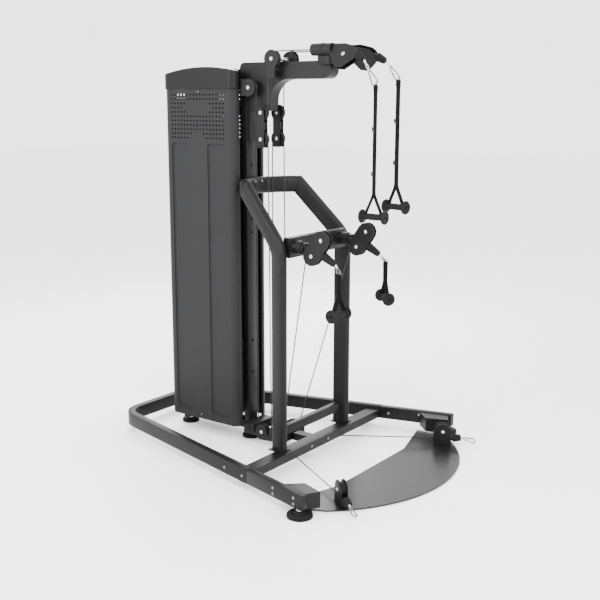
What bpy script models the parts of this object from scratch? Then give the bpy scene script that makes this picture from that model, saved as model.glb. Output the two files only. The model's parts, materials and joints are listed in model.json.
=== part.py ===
"""Cable training machine: weight tower, boom with two high swivel pulleys, portal frame with two
chest-height swivel heads, splayed floor base and a half-moon foot plate with two low pulleys.

Metres, +Z up.  X = 0 is the plane of symmetry, the user stands on the -Y side, the floor is Z = 0.
Names ending in _left are on the -X side.
"""
import bpy
import bmesh
from math import atan, atan2, cos, degrees, pi, radians, sin, sqrt
from mathutils import Matrix, Vector

# ---------------------------------------------------------------- driving sizes
GAP = 0.0004                 # left between neighbours
LEG_HALF = 0.6166            # half distance between the legs' centre lines at Y = 0
LEG_SPLAY = 0.2537           # the legs open by this much X for each metre towards the front
LEG_WIDE = 0.045
LEG_Z = (0.045, 0.125)
LEG_FRONT_Y = -0.693
LEG_SPLICE_Y = -0.240        # in front of this the legs are short tubes, behind it one long bow
BOW_REAR_Y = 1.045
BOW_RADIUS = 0.14
CROSS_Y = -0.205             # floor cross tube
CROSS_Z = (0.055, 0.105)
CROSS_DEEP = 0.08
POST_X = 0.312
POST_Y = -0.170
POST_TURN = radians(13)      # the posts' wide sides turn inwards towards the tower
POST_DEEP = 0.098
POST_WIDE = 0.050
POST_BEND_Z = 1.25
POST_BEND = 0.16             # radius of the bend
POST_LEAN = radians(44)
POST_TOP_Z = 1.560
ARCH_Y = 0.2420              # the upper cross tube bows back to here and bolts to the column
COLUMN_Y = 0.290
COLUMN = (0.080, 0.044)
COLUMN_Z = (0.036, 2.150)
REAR_COLUMN_Y = 0.795
TOWER_HALF = 0.150
TOWER_Y = (0.275, 0.822)
TOWER_Z = (0.100, 2.112)
TOWER_CORNER = 0.045
SHEET = 0.003
FRONT_SLOT = 0.100
REAR_SLOT = 0.046
CAP_RISE = (2.196, 2.238, 2.214)
STACK_Y = 0.542
STACK_X = 0.105
STACK_DEEP = 0.175
PLATE_PITCH = 0.024
LOWER_PLATES = 14
UPPER_PLATES = 5
ROD_SPREAD = 0.125
ROD_RADIUS = 0.010
BOOM_Z = (2.166, 2.261)
BOOM_Y = (-0.315, 0.319)
BOOM_HALF = 0.040
LINE_X = 0.075               # the cables' planes, left and right of the middle
SHEAVE = 0.045               # outer radius of every pulley
PITCH = 0.042                # radius of the cable's centre line on a pulley
SHEAVE_WIDE = 0.022
BORE = 0.0066
AXLE = 0.0060
CABLE = 0.003
BOOM_AXLE = (0.046, 2.275)   # (Y, Z) of the pulleys' axles
COLUMN_AXLE = (0.214, 2.120)
TOWER_AXLE = (STACK_Y - PITCH, 2.120)
BLOCK_Y = 0.130
BLOCK_Z = (1.832, 1.981)
BASE_REAR_AXLE = (0.130, 0.088)
BASE_FRONT_AXLE = (0.030, 0.096)
TOP_AXIS = (LINE_X, BOOM_AXLE[1] + PITCH)   # (X, Z) of the high heads' swivel axes, which run along Y
BARREL_Y = (-0.341, -0.222)
TOP_SWIVEL = radians(30)     # the heads hang turned outwards by this much
TOP_PULLEY_Y = -0.440
TOP_EXIT = radians(32)       # the cable leaves the high pulley this far below level
BEAM_Z = (1.205, 1.315)
BEAM_Y = (-0.215, -0.170)
MID_X = 0.225
MID_AXIS_Z = 1.262
MID_PULLEYS = ((-0.395, 1.313), (-0.332, 1.222))
MID_EXIT = radians(29)
LOW_PULLEY = (0.550, -0.750, 0.093)
LOW_TURN = radians(36)       # the low pulleys' planes point outwards by this much
PLATE_Z = (0.004, 0.010)
SIDES = (("left", -1), ("right", 1))

TUBE_PAINT = ("satin_charcoal_paint", (0.045, 0.045, 0.046), 0.42, 0.1)
SHEET_PAINT = ("textured_grey_paint", (0.075, 0.075, 0.075), 0.5, 0.1)
RUBBER = ("black_rubber", (0.010, 0.010, 0.010), 0.8, 0.0)
NYLON = ("black_nylon", (0.012, 0.012, 0.012), 0.45, 0.0)
STEEL = ("bright_steel", (0.6, 0.6, 0.6), 0.25, 1.0)
IRON = ("cast_iron", (0.03, 0.03, 0.03), 0.6, 0.6)
WEBBING = ("black_webbing", (0.012, 0.012, 0.012), 0.9, 0.0)
CABLE_COAT = ("grey_cable_coat", (0.08, 0.08, 0.08), 0.4, 0.0)
PLATE_PAINT = ("grey_plate", (0.23, 0.23, 0.23), 0.35, 0.2)

for old in list(bpy.data.objects):
    bpy.data.objects.remove(old, do_unlink=True)
machine = bpy.data.collections.new("cable_training_machine")
cutters = bpy.data.collections.new("cutters")
bpy.context.scene.collection.children.link(machine)
bpy.context.scene.collection.children.link(cutters)


# ---------------------------------------------------------------- helpers
def paint(obj, finish):
    name, colour, roughness, metallic = finish
    mat = bpy.data.materials.get(name)
    if mat is None:
        mat = bpy.data.materials.new(name)
        mat.use_nodes = True
        shader = mat.node_tree.nodes["Principled BSDF"]
        shader.inputs["Base Color"].default_value = (*colour, 1.0)
        shader.inputs["Roughness"].default_value = roughness
        shader.inputs["Metallic"].default_value = metallic
    obj.data.materials.clear()
    obj.data.materials.append(mat)
    return obj


def add_mesh(name, mesh):
    obj = bpy.data.objects.new(name, mesh)
    machine.objects.link(obj)
    return obj


def from_bmesh(name, bm):
    bmesh.ops.recalc_face_normals(bm, faces=bm.faces)
    mesh = bpy.data.meshes.new(name)
    bm.to_mesh(mesh)
    bm.free()
    return add_mesh(name, mesh)


def bevel(obj, width, segments=2):
    mod = obj.modifiers.new("rounded_edges", "BEVEL")
    mod.width = width
    mod.segments = segments
    mod.limit_method = "ANGLE"
    mod.angle_limit = radians(40)
    return obj


def box(name, low, high, round_edges=0.0):
    bm = bmesh.new()
    bmesh.ops.create_cube(bm, size=1.0)
    size = Vector(high) - Vector(low)
    middle = (Vector(high) + Vector(low)) / 2
    bmesh.ops.transform(bm, matrix=Matrix.Translation(middle) @ Matrix.Diagonal((*size, 1.0)), verts=bm.verts)
    obj = from_bmesh(name, bm)
    if round_edges:
        bevel(obj, round_edges)
    return obj


def arc(centre, radius, start, stop, steps):
    """Points on a circle from one angle to another, in degrees."""
    points = []
    for i in range(steps + 1):
        angle = radians(start + (stop - start) * i / steps)
        points.append((centre[0] + radius * cos(angle), centre[1] + radius * sin(angle)))
    return points


def mesh_from_curve(name, curve, matrix):
    """Turn a curve object into a mesh object whose caps are welded and whose place is in its mesh."""
    guide = bpy.data.objects.new(name + "_guide", curve)
    guide.matrix_world = matrix
    machine.objects.link(guide)
    bpy.context.view_layer.update()
    evaluated = guide.evaluated_get(bpy.context.evaluated_depsgraph_get())
    mesh = bpy.data.meshes.new_from_object(evaluated)
    mesh.transform(matrix)
    bpy.data.objects.remove(guide, do_unlink=True)
    bm = bmesh.new()
    bm.from_mesh(mesh)
    bmesh.ops.remove_doubles(bm, verts=bm.verts, dist=0.00001)
    bpy.data.meshes.remove(mesh)
    return from_bmesh(name, bm)


PLANES = {"X": Matrix(((0, 0, 1, 0), (1, 0, 0, 0), (0, 1, 0, 0), (0, 0, 0, 1))),
          "Y": Matrix(((1, 0, 0, 0), (0, 0, -1, 0), (0, 1, 0, 0), (0, 0, 0, 1))),
          "Z": Matrix.Identity(4)}


def prism(name, outlines, low, high, axis):
    """A flat outline, with any holes after it, pulled along X, Y or Z from low to high."""
    curve = bpy.data.curves.new(name, "CURVE")
    curve.dimensions = "2D"
    curve.fill_mode = "BOTH"
    curve.extrude = (high - low) / 2
    for outline in outlines:
        spline = curve.splines.new("POLY")
        spline.points.add(len(outline) - 1)
        for point, (u, v) in zip(spline.points, outline):
            point.co = (u, v, 0.0, 1.0)
        spline.use_cyclic_u = True
    middle = (high + low) / 2
    shift = {"X": (middle, 0, 0), "Y": (0, middle, 0), "Z": (0, 0, middle)}[axis]
    return mesh_from_curve(name, curve, Matrix.Translation(shift) @ PLANES[axis])


def rod(name, start, end, radius, segments=12):
    bm = bmesh.new()
    span = Vector(end) - Vector(start)
    bmesh.ops.create_cone(bm, cap_ends=True, segments=segments, radius1=radius, radius2=radius, depth=span.length)
    turn = Vector((0, 0, 1)).rotation_difference(span).to_matrix().to_4x4()
    bmesh.ops.transform(bm, matrix=Matrix.Translation((Vector(start) + Vector(end)) / 2) @ turn, verts=bm.verts)
    return from_bmesh(name, bm)


def cone(name, start, end, radius_start, radius_end, segments=16):
    bm = bmesh.new()
    span = Vector(end) - Vector(start)
    bmesh.ops.create_cone(bm, cap_ends=True, segments=segments, radius1=radius_start, radius2=radius_end,
                          depth=span.length)
    turn = Vector((0, 0, 1)).rotation_difference(span).to_matrix().to_4x4()
    bmesh.ops.transform(bm, matrix=Matrix.Translation((Vector(start) + Vector(end)) / 2) @ turn, verts=bm.verts)
    return from_bmesh(name, bm)


def hide_cutter(obj):
    obj.hide_render = True
    obj.display_type = "WIRE"
    machine.objects.unlink(obj)
    cutters.objects.link(obj)


def combine(target, others, operation):
    for other in others:
        mod = target.modifiers.new(operation.lower(), "BOOLEAN")
        mod.operation = operation
        mod.solver = "EXACT"
        mod.object = other
        hide_cutter(other)
    return target


def weld(target, *others):
    return combine(target, others, "UNION")


def cut(target, *others):
    return combine(target, others, "DIFFERENCE")


def move_origin(obj, point):
    """Put the object's origin on its joint without moving its shape."""
    obj.data.transform(Matrix.Translation(-Vector(point)))
    obj.location = point
    return obj


def turned(name, profile, centre, axis_turn=Matrix.Identity(4), segments=16, ring=True):
    """A profile of (radius, height) points turned about the object's own Z; a ring's profile is closed."""
    mesh = bpy.data.meshes.new(name)
    edges = [(i, i + 1) for i in range(len(profile) - 1)]
    if ring:
        edges.append((len(profile) - 1, 0))
    mesh.from_pydata([(r, 0.0, h) for r, h in profile], edges, [])
    obj = add_mesh(name, mesh)
    obj.matrix_world = Matrix.Translation(centre) @ axis_turn
    mod = obj.modifiers.new("turned", "SCREW")
    mod.angle = 2 * pi
    mod.steps = segments
    mod.render_steps = segments
    mod.use_merge_vertices = True
    mod.merge_threshold = 0.00001
    mod.use_normal_flip = True
    return obj


ALONG_X = Matrix.Rotation(pi / 2, 4, "Y")


def groove(offset, half=SHEAVE_WIDE / 2):
    """One V groove's rim points, from the lower edge to the upper one."""
    floor = PITCH - CABLE - 0.0012
    return [(SHEAVE, offset - half), (floor, offset - 0.0035), (floor, offset + 0.0035), (SHEAVE, offset + half)]


def pulley(name, centre, turn=ALONG_X):
    half = SHEAVE_WIDE / 2
    profile = [(BORE, -half), *groove(0.0), (BORE, half)]
    return paint(turned(name, profile, centre, turn), NYLON)


def double_pulley(name, centre):
    half = SHEAVE_WIDE / 2
    hub = 0.012
    profile = [(BORE, -LINE_X - half), *groove(-LINE_X), (hub, -LINE_X + half), (hub, LINE_X - half),
               *groove(LINE_X), (BORE, LINE_X + half)]
    return paint(turned(name, profile, centre, ALONG_X), NYLON)


def leg_x(y):
    return LEG_HALF - LEG_SPLAY * y


# ---------------------------------------------------------------- floor base
def floor_base():
    across = LEG_WIDE / 2 * sqrt(1 + LEG_SPLAY ** 2)
    for side, s in SIDES:
        outline = [(s * (leg_x(y) + d * across), y) for y, d in
                   ((LEG_FRONT_Y, -1), (LEG_FRONT_Y, 1), (LEG_SPLICE_Y, 1), (LEG_SPLICE_Y, -1))]
        leg = prism("base_leg_" + side, [outline], *LEG_Z, "Z")
        bevel(leg, 0.006, 2)
        paint(leg, TUBE_PAINT)
    splay = degrees(atan(LEG_SPLAY))
    middle_y = BOW_REAR_Y - LEG_WIDE / 2
    centre_y = middle_y - BOW_RADIUS
    centre = (leg_x(centre_y) - BOW_RADIUS * sqrt(1 + LEG_SPLAY ** 2), centre_y)
    outline = []
    for radius in (BOW_RADIUS + LEG_WIDE / 2, BOW_RADIUS - LEG_WIDE / 2):
        edge = across if radius > BOW_RADIUS else -across
        y = LEG_SPLICE_Y + GAP
        half = [(leg_x(y) + edge, y)] + arc(centre, radius, splay, 90, 8)
        whole = half + [(-x, y) for x, y in reversed(half)]
        outline += whole if radius > BOW_RADIUS else whole[::-1]
    bow = prism("base_bow_rear", [outline], *LEG_Z, "Z")
    bevel(bow, 0.006, 2)
    paint(bow, TUBE_PAINT)

    inner = across + GAP
    y0, y1 = CROSS_Y - CROSS_DEEP / 2, CROSS_Y + CROSS_DEEP / 2
    outline = [(leg_x(y0) - inner, y0), (leg_x(y1) - inner, y1)]
    outline += [(-x, y) for x, y in reversed(outline)]
    cross = prism("cross_tube_front", [outline], *CROSS_Z, "Z")
    spine = box("spine", (-0.03, CROSS_Y, CROSS_Z[0] + 0.003), (0.03, -0.045, CROSS_Z[1] - 0.003))
    bridge = box("bridge", (-0.098, -0.052, 0.060), (0.098, -0.040, 0.110))
    tail = box("tail", (-0.098, 0.192, 0.055), (0.098, COLUMN_Y - COLUMN[1] / 2 - GAP, 0.120))
    cheeks = []
    for side, s in SIDES:
        y_r, z_r = BASE_REAR_AXLE
        y_f, z_f = BASE_FRONT_AXLE
        outline = [(0.20, 0.060), (0.20, 0.115)] + arc((y_r, z_r), 0.050, 40, 100, 5) \
            + arc((y_f, z_f), 0.050, 80, 130, 4) + [(-0.046, 0.105), (-0.046, 0.062)] \
            + arc((y_f, z_f), 0.050, 230, 275, 4) + arc((y_r, z_r), 0.050, 265, 320, 5)
        low = s * 0.098 - 0.003
        cheeks.append(prism("base_cheek_" + side, [outline], low, low + 0.006, "X"))
    axles = [rod("base_axle_%d" % i, (-0.1, *axle), (0.1, *axle), AXLE)
             for i, axle in enumerate((BASE_REAR_AXLE, BASE_FRONT_AXLE))]
    weld(cross, spine, bridge, tail, *cheeks, *axles)
    paint(cross, TUBE_PAINT)
    double_pulley("base_pulley_rear", (0, *BASE_REAR_AXLE))
    double_pulley("base_pulley_front", (0, *BASE_FRONT_AXLE))


# ---------------------------------------------------------------- portal frame
def portal():
    inward = Vector((sin(POST_TURN), cos(POST_TURN), 0.0))
    for side, s in SIDES:
        along = Vector((-s * inward.x, inward.y, 0.0))
        across = Vector((along.y, -along.x, 0.0))
        base = Vector((s * POST_X, POST_Y, 0.0))
        bend = POST_BEND
        bend_start = POST_BEND_Z - bend * sin(POST_LEAN) / 2
        route = [(0.0, CROSS_Z[1] + GAP)]
        for i in range(9):
            angle = POST_LEAN * i / 8
            route.append((bend * (1 - cos(angle)), bend_start + bend * sin(angle)))
        rise = POST_TOP_Z + 0.06 - route[-1][1]
        route.append((route[-1][0] + rise * sin(POST_LEAN) / cos(POST_LEAN), POST_TOP_Z + 0.06))
        section = rounded_rectangle(POST_DEEP, POST_WIDE, 0.020, 3)
        rings = []
        for i, (u, z) in enumerate(route):
            angle = POST_LEAN * max(0, min(8, i - 1)) / 8
            forward = along * cos(angle) - Vector((0, 0, sin(angle)))
            place = base + along * u + Vector((0, 0, z))
            rings.append([place + forward * a + across * b for a, b in section])
        post = loft("post_" + side, rings)
        paint(post, TUBE_PAINT)
        # the sloping tube is mitred where it meets the upper cross tube
        slice_off(post, Vector((s * MITRE[0], MITRE[1], POST_TOP_Z)), mitre_normal(s), 0.0)
    section = rounded_rectangle(POST_DEEP, POST_WIDE, 0.020, 3)
    radius, half_angle = arch()
    steps = 12
    stations = []
    for i in range(steps + 1):
        angle = half_angle * (2 * i / steps - 1)
        stations.append((radius * sin(angle), ARCH_Y - radius + radius * cos(angle), angle))
    for i, run in ((0, -0.06), (-1, 0.06)):
        x, y, angle = stations[i]
        end = (x + run * cos(angle), y - run * sin(angle), angle)
        stations.insert(0 if i == 0 else len(stations), end)
    rings = []
    for x, y, angle in stations:
        outward = Vector((sin(angle), cos(angle), 0))
        rings.append([Vector((x, y, POST_TOP_Z + a)) + outward * b for a, b in section])
    tube = loft("cross_tube_upper", rings)
    for side, s in SIDES:
        slice_off(tube, Vector((s * MITRE[0], MITRE[1], POST_TOP_Z)), -mitre_normal(s), GAP)
    paint(tube, TUBE_PAINT)

    inside = POST_X - POST_WIDE / 2 - 0.012
    bar = box("cross_bar_lower", (-inside, POST_Y - 0.02, 0.185), (inside, POST_Y + 0.02, 0.238), 0.005)
    paint(bar, TUBE_PAINT)
    beam = box("beam_middle", (-inside, BEAM_Y[0], BEAM_Z[0]), (inside, BEAM_Y[1], BEAM_Z[1]))
    for side, s in SIDES:
        housing = rod("housing_" + side, (s * MID_X, BEAM_Y[0] + 0.01, MID_AXIS_Z),
                      (s * MID_X, BEAM_Y[0] - 0.055, MID_AXIS_Z), 0.036, 20)
        bore = rod("bore_" + side, (s * MID_X, BEAM_Y[1] + 0.01, MID_AXIS_Z),
                   (s * MID_X, BEAM_Y[0] - 0.07, MID_AXIS_Z), 0.0190, 20)
        weld(beam, housing)
        cut(beam, bore)
    paint(beam, TUBE_PAINT)


def rounded_rectangle(deep, wide, radius, steps):
    points = []
    for i, (u, v) in enumerate(((1, 1), (-1, 1), (-1, -1), (1, -1))):
        centre = (u * (deep / 2 - radius), v * (wide / 2 - radius))
        points += arc(centre, radius, 90 * i, 90 * i + 90, steps)
    return points


def loft(name, rings):
    """Join rings of equally many points into one closed skin."""
    bm = bmesh.new()
    rows = [[bm.verts.new(p) for p in ring] for ring in rings]
    count = len(rows[0])
    for lower, upper in zip(rows, rows[1:]):
        for i in range(count):
            j = (i + 1) % count
            bm.faces.new((lower[i], lower[j], upper[j], upper[i]))
    bm.faces.new(rows[0][::-1])
    bm.faces.new(rows[-1])
    return from_bmesh(name, bm)


def slice_off(obj, point, normal, gap):
    """Cut a mesh with a plane, throw away the side the normal points to and close the cut."""
    bm = bmesh.new()
    bm.from_mesh(obj.data)
    cut_at = Vector(point) - Vector(normal) * gap
    everything = bm.verts[:] + bm.edges[:] + bm.faces[:]
    result = bmesh.ops.bisect_plane(bm, geom=everything, plane_co=cut_at, plane_no=normal, clear_outer=True)
    edges = [e for e in result["geom_cut"] if isinstance(e, bmesh.types.BMEdge)]
    bmesh.ops.holes_fill(bm, edges=edges, sides=0)
    bmesh.ops.recalc_face_normals(bm, faces=bm.faces)
    bm.to_mesh(obj.data)
    bm.free()


def mitre_place():
    """Where the sloping tube's centre line reaches the upper cross tube's height."""
    start = POST_BEND_Z - POST_BEND * sin(POST_LEAN) / 2
    u = POST_BEND * (1 - cos(POST_LEAN))
    z = start + POST_BEND * sin(POST_LEAN)
    u += (POST_TOP_Z - z) * sin(POST_LEAN) / cos(POST_LEAN)
    return POST_X - u * sin(POST_TURN), POST_Y + u * cos(POST_TURN)


MITRE = mitre_place()


def arch():
    """Radius and half angle of the upper cross tube's bow, seen from above."""
    bow = ARCH_Y - MITRE[1]
    radius = (MITRE[0] ** 2 + bow ** 2) / (2 * bow)
    return radius, atan2(MITRE[0], radius - bow)


def mitre_normal(s):
    """Normal of the mitre plane, pointing from the sloping tube to the cross tube."""
    slope = Vector((-s * sin(POST_TURN) * sin(POST_LEAN), cos(POST_TURN) * sin(POST_LEAN), cos(POST_LEAN)))
    angle = arch()[1]
    level = Vector((-s * cos(angle), sin(angle), 0.0))
    return (slope + level).normalized()


# ---------------------------------------------------------------- columns and boom
def columns():
    half_x, half_y = COLUMN[0] / 2, COLUMN[1] / 2
    front = box("column_front", (-half_x, COLUMN_Y - half_y, COLUMN_Z[0]), (half_x, COLUMN_Y + half_y, COLUMN_Z[1]),
                0.006)
    paint(front, TUBE_PAINT)
    rear = box("column_rear", (-half_x, REAR_COLUMN_Y - half_y, COLUMN_Z[0]),
               (half_x, REAR_COLUMN_Y + half_y, 2.060))
    inner = COLUMN_Y + half_y + GAP
    floor_tube = box("floor_tube", (-half_x, inner, 0.062), (half_x, REAR_COLUMN_Y, 0.112))
    top_tube = box("top_tube", (-0.02, inner, 2.010), (0.02, REAR_COLUMN_Y, 2.050))
    weld(rear, floor_tube, top_tube)
    paint(rear, TUBE_PAINT)


def boom():
    arm_outline = [(BOOM_Y[1] - 0.03, BOOM_Z[1]), (BOOM_Y[0] + 0.045, BOOM_Z[1])]
    arm_outline += arc((BOOM_Y[0] + 0.0475, (BOOM_Z[0] + BOOM_Z[1]) / 2), 0.0475, 90, 270, 8)
    arm_outline += [(-0.027, BOOM_Z[0])]
    arm_outline += arc((-0.027, BOOM_Z[0] - 0.130), 0.130, 80, 20, 5)
    arm_outline += [(0.105, 1.990), (0.250, 1.990), (0.250, 1.820)]
    arm_outline += [(COLUMN_Y - COLUMN[1] / 2 - GAP, 1.820), (COLUMN_Y - COLUMN[1] / 2 - GAP, COLUMN_Z[1] + GAP)]
    arm_outline += [(BOOM_Y[1], COLUMN_Z[1] + GAP)] + arc((BOOM_Y[1] - 0.03, BOOM_Z[1] - 0.03), 0.03, 0, 90, 4)[:-1]
    arm = prism("boom_arm", [arm_outline], -BOOM_HALF, BOOM_HALF, "X")

    spindle_hole = rod("column_hub_hole", (-0.05, *COLUMN_AXLE), (0.05, *COLUMN_AXLE), 0.016, 20)
    cut(arm, spindle_hole)

    parts = []
    for side, s in SIDES:
        low = s * 0.096 - 0.003
        y, z = BOOM_AXLE
        cheek = arc((y, z), 0.050, -20, 200, 12) + [(y - 0.024, 2.225), (y - 0.024, 2.172), (y + 0.024, 2.172),
                                                   (y + 0.024, 2.225)]
        parts.append(prism("boom_cheek_" + side, [cheek], low, low + 0.006, "X"))
        y, z = COLUMN_AXLE
        cheek = arc((y, z), 0.050, 60, 300, 12) + [(0.266, 2.070), (0.266, 2.170)]
        parts.append(prism("column_cheek_" + side, [cheek], low, low + 0.006, "X"))
    parts.append(box("boom_yoke", (-0.094, 0.026, 2.178), (0.094, 0.066, 2.212)))
    parts.append(box("column_yoke", (-0.094, 0.262, 2.085), (0.094, 0.2665, 2.155)))
    parts.append(rod("boom_axle", (-0.098, *BOOM_AXLE), (0.098, *BOOM_AXLE), AXLE))
    parts.append(rod("column_axle", (-0.098, *COLUMN_AXLE), (0.098, *COLUMN_AXLE), AXLE))
    saddle_low = (-TOP_AXIS[0], BARREL_Y[0] + 0.015, BOOM_Z[1] - 0.02)
    parts.append(box("saddle", saddle_low, (TOP_AXIS[0], BARREL_Y[1] - 0.03, 2.300)))
    holes = []
    for side, s in SIDES:
        x, z = s * TOP_AXIS[0], TOP_AXIS[1]
        parts.append(rod("barrel_" + side, (x, BARREL_Y[0], z), (x, BARREL_Y[1], z), 0.033, 20))
        holes.append(rod("barrel_bore_" + side, (x, BARREL_Y[0] - 0.01, z), (x, BARREL_Y[1] + 0.01, z), 0.0190, 20))
    weld(arm, *parts)
    cut(arm, *holes)
    paint(arm, TUBE_PAINT)
    double_pulley("boom_pulley", (0, *BOOM_AXLE))
    double_pulley("column_pulley", (0, *COLUMN_AXLE))


# ---------------------------------------------------------------- tower
def rounded_corner_path(half, inner_front, inner_rear):
    """Plan of one shroud's outer face: front return, round corner, side, round corner, rear return."""
    front, rear = TOWER_Y
    r = TOWER_CORNER
    path = [(inner_front, front)]
    path += arc((half - r, front + r), r, -90, 0, 5)
    path += arc((half - r, rear - r), r, 0, 90, 5)
    path += [(inner_rear, rear)]
    return path


def tower():
    outer = rounded_corner_path(TOWER_HALF, FRONT_SLOT, REAR_SLOT)
    front, rear = TOWER_Y
    r = TOWER_CORNER
    inner = [(FRONT_SLOT, front + SHEET)] + arc((TOWER_HALF - r, front + r), r - SHEET, -90, 0, 5)
    inner += arc((TOWER_HALF - r, rear - r), r - SHEET, 0, 90, 5) + [(REAR_SLOT, rear - SHEET)]
    whole = outer + inner[::-1]
    shroud = prism("shroud_right", [whole], *TOWER_Z, "Z")
    slot = box("pin_slot", (TOWER_HALF - 0.02, STACK_Y - 0.017, 0.125), (TOWER_HALF + 0.02, STACK_Y + 0.017, 1.42))
    cut(shroud, slot)
    paint(shroud, SHEET_PAINT)
    shroud = prism("shroud_left", [[(-x, y) for x, y in whole]], *TOWER_Z, "Z")
    paint(shroud, SHEET_PAINT)

    rim = 0.006
    plan = [(x, y) for x, y in rounded_corner_path(TOWER_HALF, 0.0, 0.0)]
    plan = [(x * (TOWER_HALF + rim) / TOWER_HALF, y + (rim if y > STACK_Y else -rim)) for x, y in plan]
    plan += [(-x, y) for x, y in reversed(plan[1:-1])]
    cap = prism("tower_cap", [plan], TOWER_Z[1] + GAP, CAP_RISE[1] + 0.01, "Z")
    front, rear = TOWER_Y[0] - rim, TOWER_Y[1] + rim
    middle = (front + rear) / 2 - 0.05
    top = [(front - 0.05, 2.30), (front - 0.05, CAP_RISE[2] - 0.004)]
    for i in range(13):
        y = front + (rear - front) * i / 12
        top.append((y, cap_height(y, front, middle, rear)))
    top += [(rear + 0.05, CAP_RISE[0] - 0.004), (rear + 0.05, 2.30)]
    over = prism("cap_over", [top], -0.2, 0.2, "X")
    notch = box("cap_notch", (-0.105, front - 0.05, 2.0), (0.105, 0.335, 2.35))
    hollow = box("cap_hollow", (-0.105, 0.30, 2.0), (0.105, 0.76, 2.182))
    cut(cap, over, notch, hollow)
    paint(cap, NYLON)

    rods = box("guide_rods", (-0.05, STACK_Y - ROD_SPREAD - 0.03, 0.1124), (0.05, STACK_Y + ROD_SPREAD + 0.03, 0.130))
    for i, d in enumerate((-ROD_SPREAD, ROD_SPREAD)):
        weld(rods, rod("rod_%d" % i, (0.0, STACK_Y + d, 0.12), (0.0, STACK_Y + d, 2.0096), ROD_RADIUS))
    paint(rods, STEEL)

    low = 0.1304
    stack = plates("weight_stack_lower", low, LOWER_PLATES)
    paint(stack, IRON)
    start = low + LOWER_PLATES * PLATE_PITCH
    upper = plates("weight_stack_upper", start, UPPER_PLATES)
    top = start + UPPER_PLATES * PLATE_PITCH
    yoke = box("yoke", (-0.095, STACK_Y - 0.03, top - 0.004), (0.095, STACK_Y + 0.03, top + 0.02))
    selector = rod("selector_rod", (0, STACK_Y, low + 0.01), (0, STACK_Y, top), 0.010)
    pin_bore = rod("pin_bore", (0.05, STACK_Y, start + 0.012), (0.12, STACK_Y, start + 0.012), 0.0048)
    weld(upper, yoke, selector)
    cut(upper, pin_bore)
    paint(upper, IRON)
    pin = rod("selector_pin", (0.052, STACK_Y, start + 0.012), (0.146, STACK_Y, start + 0.012), 0.0042)
    knob = rod("knob", (0.120, STACK_Y, start + 0.012), (0.146, STACK_Y, start + 0.012), 0.013)
    weld(pin, knob)
    paint(pin, STEEL)

    y, z = TOWER_AXLE
    double_pulley("tower_pulley", (0, y, z))


def cap_height(y, front, middle, rear):
    """The cap's arched top: a parabola each way from its highest point."""
    if y < middle:
        drop = CAP_RISE[1] - CAP_RISE[2]
        return CAP_RISE[1] - drop * ((y - middle) / (front - middle)) ** 2
    drop = CAP_RISE[1] - CAP_RISE[0]
    return CAP_RISE[1] - drop * ((y - middle) / (rear - middle)) ** 2


def plates(name, low, count):
    """A run of weight plates as one block, bored for the guide rods and, below, the selector rod."""
    top = low + count * PLATE_PITCH - GAP
    stack = box(name, (-STACK_X, STACK_Y - STACK_DEEP, low), (STACK_X, STACK_Y + STACK_DEEP, top))
    bores = [STACK_Y - ROD_SPREAD, STACK_Y + ROD_SPREAD]
    if name == "weight_stack_lower":
        bores.append(STACK_Y)
    for i, y in enumerate(bores):
        cut(stack, rod("%s_bore_%d" % (name, i), (0, y, low - 0.05), (0, y, top + 0.05), 0.0115))
    return stack


# ---------------------------------------------------------------- feet, foot plate, low stations
def foot(name, x, y, radius, top):
    profile = [(0, 0), (radius, 0), (radius, 0.012), (radius * 0.72, 0.024), (0.013, 0.026), (0.013, top), (0, top)]
    paint(turned(name, profile, (x, y, 0), segments=24, ring=False), RUBBER)


def feet():
    for side, s in SIDES:
        foot("foot_front_" + side, s * leg_x(-0.655), -0.655, 0.060, LEG_Z[0] - GAP)
    foot("foot_column_front", 0.0, COLUMN_Y, 0.048, COLUMN_Z[0] - GAP)
    foot("foot_column_rear", 0.0, REAR_COLUMN_Y, 0.048, COLUMN_Z[0] - GAP)


def foot_plate():
    front, side_x, side_y = -1.045, 0.660, -0.738
    sagitta = side_y - front
    radius = (side_x ** 2 + sagitta ** 2) / (2 * sagitta)
    centre_y = front + radius
    half_angle = degrees(atan2(side_x, centre_y - side_y))
    outline = arc((0, centre_y), radius, -90 - half_angle, -90 + half_angle, 24)
    outline += [(0.690, -0.660), (0.690, -0.500), (0.350, -0.600)]
    outline += [(-0.350, -0.600), (-0.690, -0.500), (-0.690, -0.660)]
    paint(prism("foot_plate", [outline], *PLATE_Z, "Z"), PLATE_PAINT)


def low_station(side, s):
    x, y, z = LOW_PULLEY
    place = Matrix.Translation((s * x, y, 0)) @ Matrix.Rotation(s * LOW_TURN, 4, "Z")
    floor = PLATE_Z[1] + GAP
    across = LEG_WIDE / 2 * sqrt(1 + LEG_SPLAY ** 2) + GAP
    outline = [(s * (leg_x(-0.500) - across), -0.500), (s * (leg_x(-0.675) - across), -0.675)]
    outline += [tuple((place @ Vector((s * 0.016, v, 0)))[:2]) for v in (-0.046, 0.046)]
    box_arm = prism("low_bracket_" + side, [outline], 0.030, 0.118, "Z")
    parts = []
    for i, low in enumerate((-0.0185, 0.0135)):
        cheek = arc((0, z), 0.052, 0, 180, 12) + [(-0.052, floor), (0.052, floor)]
        parts.append(prism("low_cheek_%s_%d" % (side, i), [cheek], low, low + 0.005, "X"))
    parts.append(rod("low_axle_" + side, (-0.018, 0, z), (0.018, 0, z), AXLE))
    exit_z = z - PITCH
    parts.append(rod("low_nose_" + side, (0, -0.047, exit_z), (0, -0.066, exit_z), 0.018))
    parts.append(cone("low_stop_" + side, (0, -0.064, exit_z), (0, -0.112, exit_z), 0.024, 0.017))
    for part in parts:
        part.data.transform(place)
    weld(box_arm, *parts)
    paint(box_arm, TUBE_PAINT)
    pulley("low_pulley_" + side, (s * x, y, z), Matrix.Rotation(s * LOW_TURN, 4, "Z") @ ALONG_X)


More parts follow.
